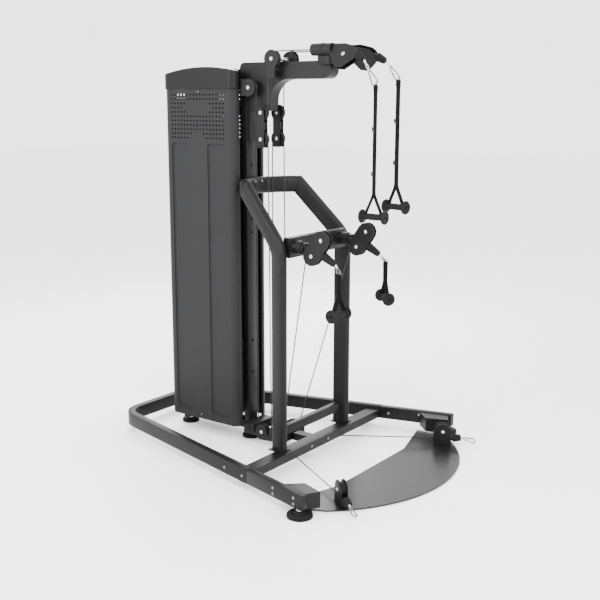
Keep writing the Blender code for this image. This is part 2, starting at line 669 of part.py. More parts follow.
# ---------------------------------------------------------------- floating blocks
def floating_block(side, s):
    x = s * LINE_X
    low, high = BLOCK_Z
    outline = [(BLOCK_Y + 0.026, low - 0.048)] + arc((BLOCK_Y, high + 0.006), 0.026, 0, 180, 8)
    outline += [(BLOCK_Y - 0.026, low - 0.048)]
    inner, thick = 0.0135, 0.004
    block = prism("block_" + side, [outline], x - inner - thick, x - inner, "X")
    parts = [prism("block_cheek_" + side, [outline], x + inner, x + inner + thick, "X")]
    middle = (low + high) / 2
    parts.append(box("block_spacer_" + side, (x - inner - 0.001, BLOCK_Y - 0.020, middle - 0.022),
                     (x + inner + 0.001, BLOCK_Y + 0.020, middle + 0.022)))
    for i, z in enumerate(BLOCK_Z):
        parts.append(rod("block_axle_%s_%d" % (side, i), (x - 0.016, BLOCK_Y, z), (x + 0.016, BLOCK_Y, z), AXLE))
    weld(block, *parts)
    paint(move_origin(block, (x, BLOCK_Y, middle)), TUBE_PAINT)
    pulley("block_pulley_lower_" + side, (x, BLOCK_Y, low))
    pulley("block_pulley_upper_" + side, (x, BLOCK_Y, high))


# ---------------------------------------------------------------- swivel heads
def head_cheeks(name, outline, x):
    inner, thick = 0.0135, 0.004
    return (prism(name, [outline], x - inner - thick, x - inner, "X"),
            prism(name + "_cheek", [outline], x + inner, x + inner + thick, "X"))


def exit_line(centre, angle, x):
    """Where the cable leaves a pulley, and the direction it leaves in, as 3-D vectors."""
    direction = Vector((0, -cos(angle), -sin(angle)))
    point = Vector((x, centre[0] - PITCH * sin(angle), centre[1] + PITCH * cos(angle)))
    return point, direction


def swivel(s):
    """The high heads' outward turn about their own axis."""
    x, z = s * TOP_AXIS[0], TOP_AXIS[1]
    axis = Matrix.Translation((x, 0, z))
    return axis @ Matrix.Rotation(-s * TOP_SWIVEL, 4, "Y") @ axis.inverted()


def top_head(side, s):
    x, z = s * TOP_AXIS[0], TOP_AXIS[1]
    outline = [(-0.343, z + 0.022), (-0.430, z + 0.022)] + arc((-0.470, z - 0.042), 0.052, 95, 215, 6)
    outline += [(-0.455, z - 0.118), (-0.405, z - 0.112), (-0.343, z - 0.030)]
    head, cheek = head_cheeks("top_head_" + side, outline, x)
    parts = [cheek]
    parts.append(rod("top_spindle_" + side, (x, -0.345, z), (x, BARREL_Y[1], z), 0.0180, 20))
    parts.append(rod("top_flange_" + side, (x, BARREL_Y[0] - GAP, z), (x, -0.353, z), 0.033, 20))
    centre = (TOP_PULLEY_Y, z - PITCH)
    parts.append(rod("top_axle_" + side, (x - 0.016, *centre), (x + 0.016, *centre), AXLE))
    point, direction = exit_line(centre, TOP_EXIT, x)
    parts.append(rod("top_nose_" + side, point + direction * 0.050, point + direction * 0.070, 0.017))
    parts.append(cone("top_stop_" + side, point + direction * 0.068, point + direction * 0.122, 0.023, 0.015))
    bore = rod("top_cable_bore_" + side, (x, -0.36, z), (x, BARREL_Y[1] + 0.01, z), 0.0062, 12)
    for part in [head, bore, *parts]:
        part.data.transform(swivel(s))
    weld(head, *parts)
    cut(head, bore)
    paint(move_origin(head, (x, BARREL_Y[0], z)), TUBE_PAINT)
    turn = Matrix.Rotation(-s * TOP_SWIVEL, 4, "Y") @ ALONG_X
    pulley("top_head_pulley_" + side, swivel(s) @ Vector((x, *centre)), turn)


def mid_head(side, s):
    x = s * MID_X
    upper, lower = MID_PULLEYS
    lean = degrees(atan2(upper[1] - lower[1], upper[0] - lower[0]))
    radius = 0.053
    outline = arc(lower, radius, lean - 270, lean - 90, 8) + arc(upper, radius, lean - 90, lean + 90, 8)
    head, cheek = head_cheeks("mid_head_" + side, outline, x)
    parts = [cheek]
    front = BEAM_Y[0] - 0.055
    parts.append(rod("mid_spindle_" + side, (x, front - 0.012, MID_AXIS_Z), (x, BEAM_Y[1], MID_AXIS_Z), 0.0180, 20))
    parts.append(rod("mid_flange_" + side, (x, front - GAP, MID_AXIS_Z), (x, front - 0.012, MID_AXIS_Z), 0.030, 20))
    parts.append(box("mid_web_" + side, (x - 0.0175, front - 0.030, MID_AXIS_Z + 0.012),
                     (x + 0.0175, front - 0.010, MID_AXIS_Z + 0.028)))
    for i, centre in enumerate(MID_PULLEYS):
        parts.append(rod("mid_axle_%s_%d" % (side, i), (x - 0.016, *centre), (x + 0.016, *centre), AXLE))
    point, direction = exit_line(lower, MID_EXIT, x)
    parts.append(rod("mid_nose_" + side, point + direction * 0.042, point + direction * 0.064, 0.017))
    parts.append(cone("mid_stop_" + side, point + direction * 0.062, point + direction * 0.142, 0.023, 0.015))
    weld(head, *parts)
    paint(move_origin(head, (x, front, MID_AXIS_Z)), TUBE_PAINT)
    pulley("mid_pulley_upper_" + side, (x, *upper))
    pulley("mid_pulley_lower_" + side, (x, *lower))


# ---------------------------------------------------------------- handles
def link(name, start, end, wide):
    """A closed spring link between two points, standing in the vertical plane through them."""
    span = Vector(end) - Vector(start)
    length = span.length
    r = wide / 2
    outer = arc((length - r, 0), r, -90, 90, 6) + arc((r, 0), r, 90, 270, 6)
    inner = arc((length - r, 0), r - 0.006, -90, 90, 6) + arc((r, 0), r - 0.006, 90, 270, 6)
    obj = prism(name, [outer, inner], -0.003, 0.003, "Z")
    forward = span.normalized()
    flat = forward.cross(Vector((0, 0, 1))).normalized()
    up = flat.cross(forward)
    turn = Matrix((forward, up, flat)).transposed().to_4x4()
    obj.data.transform(Matrix.Translation(start) @ turn)
    return obj


def handle(name, side, pivot, hook, grip_z, turn, fork):
    """A strap handle: link, webbing that forks above the hand, and a grip between two discs."""
    place = Matrix.Translation((hook[0], hook[1], grip_z)) @ Matrix.Rotation(turn, 4, "Z")
    top = hook[2] - grip_z
    reach = 0.050
    foot_z = 0.020
    thick = 0.0025
    outline = [(-thick, top), (-thick, fork + 0.02), (-reach - 0.003, foot_z), (-reach + 0.004, foot_z),
               (0.0, fork - 0.012), (reach - 0.004, foot_z), (reach + 0.003, foot_z), (thick, fork + 0.02),
               (thick, top)]
    strap = prism("%s_strap_%s" % (name, side), [outline], -0.0125, 0.0125, "X")
    strap.data.transform(place)
    ring = link("%s_link_%s" % (name, side), pivot, Vector(hook) - Vector((0, 0, 0.008)), 0.030)
    weld(strap, ring)
    paint(move_origin(strap, pivot), WEBBING)
    half = 0.076
    profile = [(0, -half), (0.030, -half), (0.038, -half + 0.006), (0.034, -half + 0.014), (0.0170, -half + 0.017),
               (0.0175, 0.0), (0.0170, half - 0.017), (0.034, half - 0.014), (0.038, half - 0.006), (0.030, half),
               (0, half)]
    along_y = Matrix.Rotation(-pi / 2, 4, "X")
    grip = turned("%s_grip_%s" % (name, side), profile, place.translation, Matrix.Rotation(turn, 4, "Z") @ along_y,
                  18, False)
    paint(grip, RUBBER)


TOP_GRIP_Z = {"left": 1.450, "right": 1.480}
TOP_TURN = {"left": 0.0, "right": radians(-10)}
TOP_HOOK = {"left": (-0.655, 2.125), "right": (-0.636, 2.155)}
MID_GRIP_Z = {"left": 0.920, "right": 0.945}
MID_TURN = {"left": radians(90), "right": radians(-41)}
MID_HOOK = {"left": (-0.505, 1.138), "right": (-0.522, 1.150)}


def handles(side, s):
    point, direction = exit_line((TOP_PULLEY_Y, TOP_AXIS[1] - PITCH), TOP_EXIT, s * TOP_AXIS[0])
    pivot = swivel(s) @ (point + direction * 0.131)
    handle("top", side, pivot, (s * 0.130, *TOP_HOOK[side]), TOP_GRIP_Z[side], TOP_TURN[side], 0.125)
    point, direction = exit_line(MID_PULLEYS[1], MID_EXIT, s * MID_X)
    pivot = point + direction * 0.151
    handle("mid", side, pivot, (s * MID_X, *MID_HOOK[side]), MID_GRIP_Z[side], MID_TURN[side], 0.110)


# ---------------------------------------------------------------- cables
def wrap(x, axle, start, stop, steps=8):
    """The cable's points round a pulley in the plane at x, angles from +Y towards +Z in degrees."""
    return [(x, y, z) for y, z in arc(axle, PITCH, start, stop, steps)]


def cable(name, route):
    curve = bpy.data.curves.new(name, "CURVE")
    curve.dimensions = "3D"
    curve.bevel_depth = CABLE
    curve.bevel_resolution = 2
    curve.use_fill_caps = True
    spline = curve.splines.new("POLY")
    spline.points.add(len(route) - 1)
    for point, place in zip(spline.points, route):
        point.co = (*place, 1.0)
    obj = bpy.data.objects.new(name, curve)
    machine.objects.link(obj)
    paint(obj, CABLE_COAT)
    return obj


def upper_half(s, yoke_top):
    """Upper cable on one side: high head, boom, block, column, tower, down to the stack."""
    x = s * LINE_X
    centre = (TOP_PULLEY_Y, TOP_AXIS[1] - PITCH)
    point, direction = exit_line(centre, TOP_EXIT, x)
    head = [tuple(swivel(s) @ (point + direction * 0.049))]
    leave = 90 + degrees(TOP_EXIT)
    head += [tuple(swivel(s) @ Vector(p)) for p in wrap(x, centre, leave, 90, 4)]
    route = head + wrap(x, BOOM_AXLE, 90, 0, 4)
    route += wrap(x, (BLOCK_Y, BLOCK_Z[1]), 180, 360, 8)
    route += wrap(x, COLUMN_AXLE, 180, 90, 4)
    route += wrap(x, TOWER_AXLE, 90, 0, 4)
    turn_radius = 0.012
    bottom = yoke_top + CABLE + GAP
    for y, z in arc((-turn_radius, 0), turn_radius, 0, -90, 3):
        route.append((x + s * y, STACK_Y, bottom + turn_radius + z))
    return route


def cables():
    yoke_top = 0.1304 + (LOWER_PLATES + UPPER_PLATES) * PLATE_PITCH + 0.02
    left = upper_half(-1, yoke_top)
    right = upper_half(1, yoke_top)
    cable("cable_upper", left + right[::-1])
    for side, s in SIDES:
        x, y, z = LOW_PULLEY
        forward = Vector((s * sin(LOW_TURN), -cos(LOW_TURN), 0))
        start = Vector((s * x, y, z - PITCH)) + forward * 0.046
        route = [tuple(start), (s * x, y, z - PITCH)]
        x = s * LINE_X
        route.append((x, 0.020, BASE_REAR_AXLE[1] - PITCH))
        route += wrap(x, BASE_REAR_AXLE, -90, 0, 4)
        route += wrap(x, (BLOCK_Y, BLOCK_Z[0]), 0, 180, 8)
        route += wrap(x, BASE_FRONT_AXLE, 0, -172, 8)
        x = s * MID_X
        point, direction = exit_line(MID_PULLEYS[1], MID_EXIT, x)
        route += wrap(x, MID_PULLEYS[1], 10, 90 + degrees(MID_EXIT), 4)
        route.append(tuple(point + direction * 0.041))
        cable("cable_lower_" + side, route)


floor_base()
portal()
columns()
boom()
tower()
feet()
foot_plate()
for side, s in SIDES:
    low_station(side, s)
    floating_block(side, s)
    top_head(side, s)
    mid_head(side, s)
    handles(side, s)
cables()
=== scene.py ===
"""Looks of the cable training machine: paint, plastics, webbing, cables, bolts and hooks around the CAD frame.

Metres, +Z up, the user stands on the -Y side and _left is the -X side, as in the CAD part.
"""
import bpy
import bmesh
import json
from math import cos, pi, radians, sin, sqrt
from mathutils import Matrix, Vector

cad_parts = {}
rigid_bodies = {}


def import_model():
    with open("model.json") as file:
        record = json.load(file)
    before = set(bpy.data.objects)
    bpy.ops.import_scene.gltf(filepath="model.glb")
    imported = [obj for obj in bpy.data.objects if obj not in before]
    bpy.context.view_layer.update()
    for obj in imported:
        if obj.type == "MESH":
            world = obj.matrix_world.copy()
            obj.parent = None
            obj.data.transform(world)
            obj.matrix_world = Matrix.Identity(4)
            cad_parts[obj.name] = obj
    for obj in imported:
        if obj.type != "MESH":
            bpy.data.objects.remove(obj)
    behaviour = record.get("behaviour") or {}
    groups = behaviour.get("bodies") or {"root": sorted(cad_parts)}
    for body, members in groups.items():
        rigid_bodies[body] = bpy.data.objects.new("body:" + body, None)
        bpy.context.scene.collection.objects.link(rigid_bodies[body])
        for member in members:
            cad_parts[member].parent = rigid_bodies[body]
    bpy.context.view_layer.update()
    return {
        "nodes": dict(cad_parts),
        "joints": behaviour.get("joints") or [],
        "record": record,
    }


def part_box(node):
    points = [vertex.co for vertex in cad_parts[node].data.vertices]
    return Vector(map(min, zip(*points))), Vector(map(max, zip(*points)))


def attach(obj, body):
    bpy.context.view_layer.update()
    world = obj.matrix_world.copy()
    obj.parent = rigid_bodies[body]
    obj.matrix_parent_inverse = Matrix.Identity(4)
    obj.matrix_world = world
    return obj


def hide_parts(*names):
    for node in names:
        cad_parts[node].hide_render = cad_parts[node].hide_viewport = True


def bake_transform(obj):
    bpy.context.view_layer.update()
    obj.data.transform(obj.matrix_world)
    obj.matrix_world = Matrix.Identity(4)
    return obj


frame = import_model()
JOINTS = {joint["name"]: joint for joint in frame["joints"]}
BODY_OF = {node: body for body, nodes in frame["record"]["behaviour"]["bodies"].items() for node in nodes}
SLOT_OF = {part["node"]: part["material_slot"] for part in frame["record"]["subparts"]}
SIDES = (("left", -1), ("right", 1))

# ---------------------------------------------------------------- sizes shared with the CAD part
LEG_HALF = 0.6166            # half distance between the legs' centre lines at Y = 0
LEG_SPLAY = 0.2537           # the legs open by this much X for each metre towards the front
LEG_WIDE = 0.045
LINE_X = 0.075               # the cables' planes
PITCH = 0.042                # radius of a cable's centre line on a pulley
SHEAVE = 0.045
CABLE = 0.003
GAP = 0.0005                 # between pieces that stand on each other
TOP_SWIVEL = radians(30)     # the high heads' outward turn
TOP_EXIT = radians(32)       # how far below level the cable leaves a high head
MID_EXIT = radians(29)       # and a chest-height head
TOP_PULLEY_Y = -0.440
LOW_TURN = radians(36)       # the low pulleys' outward turn
BARREL_END_Y = -0.341


def joint_place(name):
    return Vector(JOINTS[name]["pos_m"])


def middle_of(node):
    low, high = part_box(node)
    return (low + high) / 2


def square_to(forward, direction):
    """The part of a direction that is square to forward, as a unit vector."""
    direction = Vector(direction)
    return (direction - forward * forward.dot(direction)).normalized()


def turned_to(direction):
    """The rotation that takes +Z to a direction."""
    return Vector((0, 0, 1)).rotation_difference(Vector(direction)).to_matrix().to_4x4()


def leaving(centre, angle):
    """Where the cable leaves the top of a pulley towards the user, and the way it goes."""
    point = centre + Vector((0, -PITCH * sin(angle), PITCH * cos(angle)))
    return point, Vector((0, -cos(angle), -sin(angle)))


# ---------------------------------------------------------------- materials
def hex_colour(text):
    """An sRGB colour such as 3c3c3c as linear RGBA."""
    values = [int(text[i:i + 2], 16) / 255 for i in (0, 2, 4)]
    linear = [v / 12.92 if v <= 0.04045 else ((v + 0.055) / 1.055) ** 2.4 for v in values]
    return (*linear, 1.0)


def add(tree, kind, settings=None, **sockets):
    """Add a node: settings are its own fields, sockets are values or other nodes' outputs.

    A socket goes by its name, or by i and its number.
    """
    node = tree.nodes.new(kind)
    for field, value in (settings or {}).items():
        setattr(node, field, value)
    for name, value in sockets.items():
        numbered = name[0] == "i" and name[1:].isdigit()
        socket = node.inputs[int(name[1:]) if numbered else name.replace("_", " ")]
        if isinstance(value, bpy.types.NodeSocket):
            tree.links.new(value, socket)
        else:
            socket.default_value = value
    return node


def new_material(name, colour, roughness, metallic=0.0, **extra):
    mat = bpy.data.materials.new(name)
    mat.use_nodes = True
    shader = mat.node_tree.nodes["Principled BSDF"]
    shader.inputs["Base Color"].default_value = hex_colour(colour)
    shader.inputs["Roughness"].default_value = roughness
    shader.inputs["Metallic"].default_value = metallic
    for field, value in extra.items():
        shader.inputs[field.replace("_", " ")].default_value = value
    mat.diffuse_color = hex_colour(colour)
    return mat, mat.node_tree, shader


def two_tone(tree, shader, share, dark, light):
    """Mix two colours into the shader; share says how much of the light one there is at each place."""
    mix = add(tree, "ShaderNodeMix", {"data_type": "RGBA"}, i0=share, i6=hex_colour(dark), i7=hex_colour(light))
    tree.links.new(mix.outputs[2], shader.inputs["Base Color"])


def vary(tree, shader, coordinates, scale, dark, light, rough_low, rough_high):
    """Cloudy change of colour and gloss, as on any painted or moulded surface that has been handled."""
    cloud = add(tree, "ShaderNodeTexNoise", Vector=coordinates, Scale=scale, Detail=4.0, Roughness=0.6)
    two_tone(tree, shader, cloud.outputs["Fac"], dark, light)
    gloss = add(tree, "ShaderNodeMapRange", Value=cloud.outputs["Fac"], To_Min=rough_low, To_Max=rough_high)
    tree.links.new(gloss.outputs[0], shader.inputs["Roughness"])


def relief(tree, shader, height, distance):
    bump = add(tree, "ShaderNodeBump", Height=height, Distance=distance, Strength=1.0)
    tree.links.new(bump.outputs[0], shader.inputs["Normal"])


def powder_coat(name, dark, light, rough, grain_mm, depth):
    """Baked powder paint: satin, with the fine orange peel that the powder leaves when it melts."""
    mat, tree, shader = new_material(name, light, rough, 0.0, Specular_IOR_Level=0.15)
    place = add(tree, "ShaderNodeTexCoord").outputs["Object"]
    vary(tree, shader, place, 6.0, dark, light, rough - 0.04, rough + 0.05)
    peel = add(tree, "ShaderNodeTexNoise", Vector=place, Scale=1000 / grain_mm, Detail=2.0)
    relief(tree, shader, peel.outputs["Fac"], depth)
    return mat


def moulded(name, dark, light, rough, grain_mm, depth):
    """Injection-moulded nylon or ABS: even colour with a fine spark-eroded grain."""
    mat, tree, shader = new_material(name, light, rough, 0.0, Specular_IOR_Level=0.14)
    place = add(tree, "ShaderNodeTexCoord").outputs["Object"]
    vary(tree, shader, place, 14.0, dark, light, rough - 0.05, rough + 0.1)
    grain = add(tree, "ShaderNodeTexVoronoi", Vector=place, Scale=1000 / grain_mm)
    relief(tree, shader, grain.outputs["Distance"], depth)
    return mat


def bright_metal(name, dark, light, rough, streak_mm):
    """Zinc or chrome plate over drawn wire and turned bolts: fine streaks from the polishing."""
    mat, tree, shader = new_material(name, light, rough, 1.0)
    place = add(tree, "ShaderNodeTexCoord").outputs["Object"]
    stretched = add(tree, "ShaderNodeMapping", Vector=place, Scale=(1.0, 1.0, 0.15)).outputs[0]
    vary(tree, shader, place, 40.0, dark, light, rough - 0.06, rough + 0.1)
    streak = add(tree, "ShaderNodeTexNoise", Vector=stretched, Scale=1000 / streak_mm, Detail=3.0)
    relief(tree, shader, streak.outputs["Fac"], 0.00004)
    return mat


def woven(name, dark, light, thread_mm):
    """Polyester webbing: two sets of threads that cross, seen in the strap's own UV map, which is in metres."""
    mat, tree, shader = new_material(name, light, 0.9, 0.0, Specular_IOR_Level=0.08)
    uv = add(tree, "ShaderNodeUVMap").outputs[0]
    turns = pi * 1000 / thread_mm / 10
    warp = add(tree, "ShaderNodeTexWave", {"bands_direction": "X"}, Vector=uv, Scale=turns).outputs["Fac"]
    weft = add(tree, "ShaderNodeTexWave", {"bands_direction": "Y"}, Vector=uv, Scale=turns).outputs["Fac"]
    weave = add(tree, "ShaderNodeMath", {"operation": "MULTIPLY"}, i0=warp, i1=weft).outputs[0]
    two_tone(tree, shader, weave, dark, light)
    relief(tree, shader, weave, 0.0004)
    return mat


def twisted(name, dark, light, lay_mm):
    """Steel rope in a clear-grey nylon coat: the strands show through as a slanted ripple along the cable."""
    mat, tree, shader = new_material(name, light, 0.45, 0.0, Specular_IOR_Level=0.2, Coat_Weight=0.1,
                                     Coat_Roughness=0.3)
    uv = add(tree, "ShaderNodeUVMap").outputs[0]
    split = add(tree, "ShaderNodeSeparateXYZ", Vector=uv)
    along = add(tree, "ShaderNodeMath", {"operation": "MULTIPLY"}, i0=split.outputs[1], i1=1000 / lay_mm).outputs[0]
    slant = add(tree, "ShaderNodeMath", {"operation": "ADD"}, i0=along, i1=split.outputs[0]).outputs[0]
    angle = add(tree, "ShaderNodeMath", {"operation": "MULTIPLY"}, i0=slant, i1=6 * 2 * pi).outputs[0]
    wave = add(tree, "ShaderNodeMath", {"operation": "SINE"}, i0=angle).outputs[0]
    ripple = add(tree, "ShaderNodeMapRange", Value=wave, From_Min=-1.0).outputs[0]
    two_tone(tree, shader, ripple, dark, light)
    relief(tree, shader, ripple, 0.0003)
    return mat


TUBE_PAINT = powder_coat("satin_charcoal_powder_coat", "0a0a0b", "0f0f10", 0.46, 1.6, 0.00010)
SHEET_PAINT = powder_coat("textured_graphite_powder_coat", "151516", "1b1b1c", 0.55, 1.2, 0.00012)
PLATE_PAINT = powder_coat("smooth_grey_powder_coat", "101011", "161617", 0.30, 4.0, 0.00001)
CAP_PLASTIC = moulded("black_abs", "0b0b0b", "0e0e0f", 0.42, 1.5, 0.00004)
NYLON = moulded("black_nylon", "080808", "0c0c0c", 0.48, 1.2, 0.00005)
RUBBER = moulded("black_rubber", "090909", "0e0e0e", 0.7, 1.0, 0.00010)
GRIP_RUBBER = moulded("knurled_grip_rubber", "0a0a0a", "101010", 0.66, 2.5, 0.0003)
CHROME = bright_metal("chrome_plate", "4a4b4d", "747578", 0.2, 1.5)
ZINC = bright_metal("bright_zinc_plate", "b9babb", "d6d6d7", 0.34, 1.0)
DULL_ZINC = bright_metal("dull_zinc_plate", "77787a", "8d8e90", 0.5, 1.0)
CAST_IRON = powder_coat("painted_cast_iron", "101011", "161617", 0.55, 2.5, 0.0003)
WEBBING = woven("black_polyester_webbing", "060606", "121213", 1.6)
THREAD = moulded("black_thread", "0d0d0d", "1a1a1a", 0.8, 0.6, 0.0001)
CABLE_COAT = twisted("nylon_coated_steel_rope", "0b0b0b", "1b1b1c", 24.0)
FINISH = {"tube_paint": TUBE_PAINT, "sheet_paint": SHEET_PAINT, "moulded_nylon": NYLON, "rubber": RUBBER,
          "bright_steel": CHROME, "cast_iron": CAST_IRON, "webbing": WEBBING, "cable_coat": CABLE_COAT,
          "plate_paint": PLATE_PAINT}


# ---------------------------------------------------------------- mesh helpers
def new_object(name, mesh, material):
    obj = bpy.data.objects.new(name, mesh)
    bpy.context.scene.collection.objects.link(obj)
    mesh.materials.clear()
    mesh.materials.append(material)
    return obj


def from_bmesh(name, bm, material, smooth=35):
    bmesh.ops.recalc_face_normals(bm, faces=bm.faces)
    mesh = bpy.data.meshes.new(name)
    bm.to_mesh(mesh)
    bm.free()
    soften(mesh, smooth)
    return new_object(name, mesh, material)


def soften(mesh, angle=35):
    mesh.shade_smooth()
    mesh.set_sharp_from_angle(angle=radians(angle))


def skin(bm, rows, closed=False):
    """Faces between rings of points; the ends are capped unless the last ring joins the first."""
    for low, high in zip(rows, rows[1:] + rows[:1] if closed else rows[1:]):
        for i in range(len(low)):
            j = (i + 1) % len(low)
            bm.faces.new((low[i], low[j], high[j], high[i]))
    if not closed:
        bm.faces.new(rows[0][::-1])
        bm.faces.new(rows[-1])


def ring_of(bm, radius, height, sides, place=Matrix.Identity(4)):
    angles = [2 * pi * i / sides for i in range(sides)]
    return [bm.verts.new(place @ Vector((radius * cos(a), radius * sin(a), height))) for a in angles]


def bake(obj):
    """Turn an object's modifiers into plain mesh and return the same object without them."""
    bpy.context.view_layer.update()
    evaluated = obj.evaluated_get(bpy.context.evaluated_depsgraph_get())
    mesh = bpy.data.meshes.new_from_object(evaluated)
    obj.modifiers.clear()
    obj.data = mesh
    return obj


def edge_bevel(obj, width):
    mod = obj.modifiers.new("rounded_edges", "BEVEL")
    mod.width = width
    mod.segments = 2
    mod.limit_method = "ANGLE"
    mod.angle_limit = radians(35)
    mod.harden_normals = True
    return obj


def join(name, objects):
    """Several meshes as one object; each keeps its material."""
    bm = bmesh.new()
    materials = []
    for obj in objects:
        mesh = obj.data
        offset = len(materials)
        materials += list(mesh.materials)
        part = bmesh.new()
        part.from_mesh(mesh)
        for face in part.faces:
            face.material_index += offset
        scratch = bpy.data.meshes.new("scratch")
        part.to_mesh(scratch)
        part.free()
        bm.from_mesh(scratch)
        bpy.data.meshes.remove(scratch)
        bpy.data.objects.remove(obj)
    mesh = bpy.data.meshes.new(name)
    bm.to_mesh(mesh)
    bm.free()
    obj = bpy.data.objects.new(name, mesh)
    bpy.context.scene.collection.objects.link(obj)
    for material in materials:
        mesh.materials.append(material)
    return obj


def finish(obj, body, replaced=()):
    if replaced:
        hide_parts(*replaced)
    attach(obj, body)


def arc(centre, radius, start, stop, steps):
    """Points on a circle from one angle to another, in degrees."""
    angles = [radians(start + (stop - start) * i / steps) for i in range(steps + 1)]
    return [(centre[0] + radius * cos(a), centre[1] + radius * sin(a)) for a in angles]


def rounded_outline(u0, u1, v0, v1, radius, steps=4):
    points = []
    for i, (u, v) in enumerate(((u1 - radius, v1 - radius), (u0 + radius, v1 - radius),
                                (u0 + radius, v0 + radius), (u1 - radius, v0 + radius))):
        points += arc((u, v), radius, 90 * i, 90 * i + 90, steps)
    return points


def frames_along(points, first_side, closed):
    """Point, side and up along a route; an open route carries its side along without twisting."""
    last = len(points) - 1
    side = Vector(first_side)
    result = []
    for i, point in enumerate(points):
        if closed:
            ahead = points[0 if i == last else i + 1] - points[i - 1]
        else:
            ahead = points[min(i + 1, last)] - points[max(i - 1, 0)]
        tangent = ahead.normalized()
        flat = square_to(tangent, side)
        if not closed:
            side = flat
        result.append((point, flat, tangent.cross(flat)))
    return result


def sweep(name, points, section, first_side, material, closed=False, smooth=50):
    """Carry a closed section of (side, up) points along a route; the UV map is in metres."""
    points = [Vector(p) for p in points]
    bm = bmesh.new()
    uv_layer = bm.loops.layers.uv.new("UVMap")
    rows = [[bm.verts.new(p + side * a + up * b) for a, b in section]
            for p, side, up in frames_along(points, first_side, closed)]
    around = [0.0]
    for a, b in zip(section, section[1:] + section[:1]):
        around.append(around[-1] + sqrt((a[0] - b[0]) ** 2 + (a[1] - b[1]) ** 2))
    length = 0.0
    pairs = list(zip(range(len(rows)), range(1, len(rows)))) + ([(len(rows) - 1, 0)] if closed else [])
    for low, high in pairs:
        end = length + (points[high] - points[low]).length
        for i in range(len(section)):
            j = (i + 1) % len(section)
            face = bm.faces.new((rows[low][i], rows[low][j], rows[high][j], rows[high][i]))
            corners = ((around[i], length), (around[i + 1], length), (around[i + 1], end), (around[i], end))
            for loop, corner in zip(face.loops, corners):
                loop[uv_layer].uv = corner
        length = end
    if not closed:
        bm.faces.new(rows[0][::-1])
        bm.faces.new(rows[-1])
    return from_bmesh(name, bm, material, smooth)


def circle_section(radius, sides):
    return arc((0, 0), radius, 0, 360 - 360 / sides, sides - 1)


def spline_points(a, b, c, d, steps):
    """Points of a Catmull-Rom curve from b up to, but without, c."""
    return [((b * 2) + (c - a) * t + (a * 2 - b * 5 + c * 4 - d) * t ** 2 + (b * 3 - a - c * 3 + d) * t ** 3) / 2
            for t in (i / steps for i in range(steps))]


def smooth_route(points, steps):
    """A rounded route through a few points."""
    points = [Vector(p) for p in points]
    padded = [points[0] * 2 - points[1], *points, points[-1] * 2 - points[-2]]
    route = []
    for four in zip(padded, padded[1:], padded[2:], padded[3:]):
        route += spline_points(*four, steps)
    return route + [points[-1]]


def smooth_closed(points):
    """A rounded closed route through a few points."""
    route = []
    for k in range(len(points)):
        route += spline_points(*(points[(k + i - 1) % len(points)] for i in range(4)), 2)
    return route


def lathe(name, profile, base, direction, material, sides=28, smooth=40, closed=False):
    """Turn a (radius, height) profile about a line; a closed profile goes all the way round its section."""
    place = Matrix.Translation(Vector(base)) @ turned_to(direction)
    bm = bmesh.new()
    skin(bm, [ring_of(bm, r, h, sides, place) for r, h in profile], closed)
    return from_bmesh(name, bm, material, smooth)


def trace(curve, outlines):
    """Draw closed outlines into a curve, in its own X and Y."""
    for outline in outlines:
        spline = curve.splines.new("POLY")
        spline.points.add(len(outline) - 1)
        for point, (u, v) in zip(spline.points, outline):
            point.co = (u, v, 0.0, 1.0)
        spline.use_cyclic_u = True


def sheet_from_outlines(name, outlines, thick, material, place):
    """A flat sheet with holes: the first outline is its edge and the others are cut out."""
    curve = bpy.data.curves.new(name, "CURVE")
    curve.dimensions = "2D"
    curve.fill_mode = "BOTH"
    curve.extrude = thick / 2
    trace(curve, outlines)
    guide = bpy.data.objects.new(name + "_guide", curve)
    bpy.context.scene.collection.objects.link(guide)
    bpy.context.view_layer.update()
    mesh = bpy.data.meshes.new_from_object(guide.evaluated_get(bpy.context.evaluated_depsgraph_get()))
    bpy.data.objects.remove(guide)
    bm = bmesh.new()
    bm.from_mesh(mesh)
    bmesh.ops.remove_doubles(bm, verts=bm.verts, dist=0.00001)
    obj = from_bmesh(name, bm, material)
    obj.data.transform(place)
    return obj


# ---------------------------------------------------------------- Geometry Nodes
def node_group(name, inputs):
    """A Geometry Nodes tree with a geometry input and named inputs, which are (name, type) pairs."""
    tree = bpy.data.node_groups.new(name, "GeometryNodeTree")
    tree.interface.new_socket(name="Geometry", in_out="INPUT", socket_type="NodeSocketGeometry")
    for label, kind in inputs:
        tree.interface.new_socket(name=label, in_out="INPUT", socket_type=kind)
    tree.interface.new_socket(name="Geometry", in_out="OUTPUT", socket_type="NodeSocketGeometry")
    return tree, tree.nodes.new("NodeGroupInput").outputs


def close_group(tree, geometry, material):
    """Every tree ends in real geometry with its material set."""
    real = add(tree, "GeometryNodeRealizeInstances", Geometry=geometry)
    painted = add(tree, "GeometryNodeSetMaterial", Geometry=real.outputs[0], Material=material)
    end = tree.nodes.new("NodeGroupOutput")
    tree.links.new(painted.outputs[0], end.inputs[0])
    return tree


def grow(obj, tree, values):
    """Run a tree on an object with its named inputs set, and keep the result as plain mesh."""
    mod = obj.modifiers.new(tree.name, "NODES")
    mod.node_group = tree
    for item in tree.interface.items_tree:
        if item.in_out == "INPUT" and item.name in values:
            mod[item.identifier] = values[item.name]
    bake(obj)


def points_mesh(name, places):
    """Points with the direction that a fastener on each one faces."""
    mesh = bpy.data.meshes.new(name)
    mesh.from_pydata([tuple(place) for place, facing in places], [], [])
    facing = mesh.attributes.new("facing", "FLOAT_VECTOR", "POINT")
    ways = [Vector(direction).normalized() for place, direction in places]
    facing.data.foreach_set("vector", [value for way in ways for value in way])
    obj = bpy.data.objects.new(name, mesh)
    bpy.context.scene.collection.objects.link(obj)
    return obj


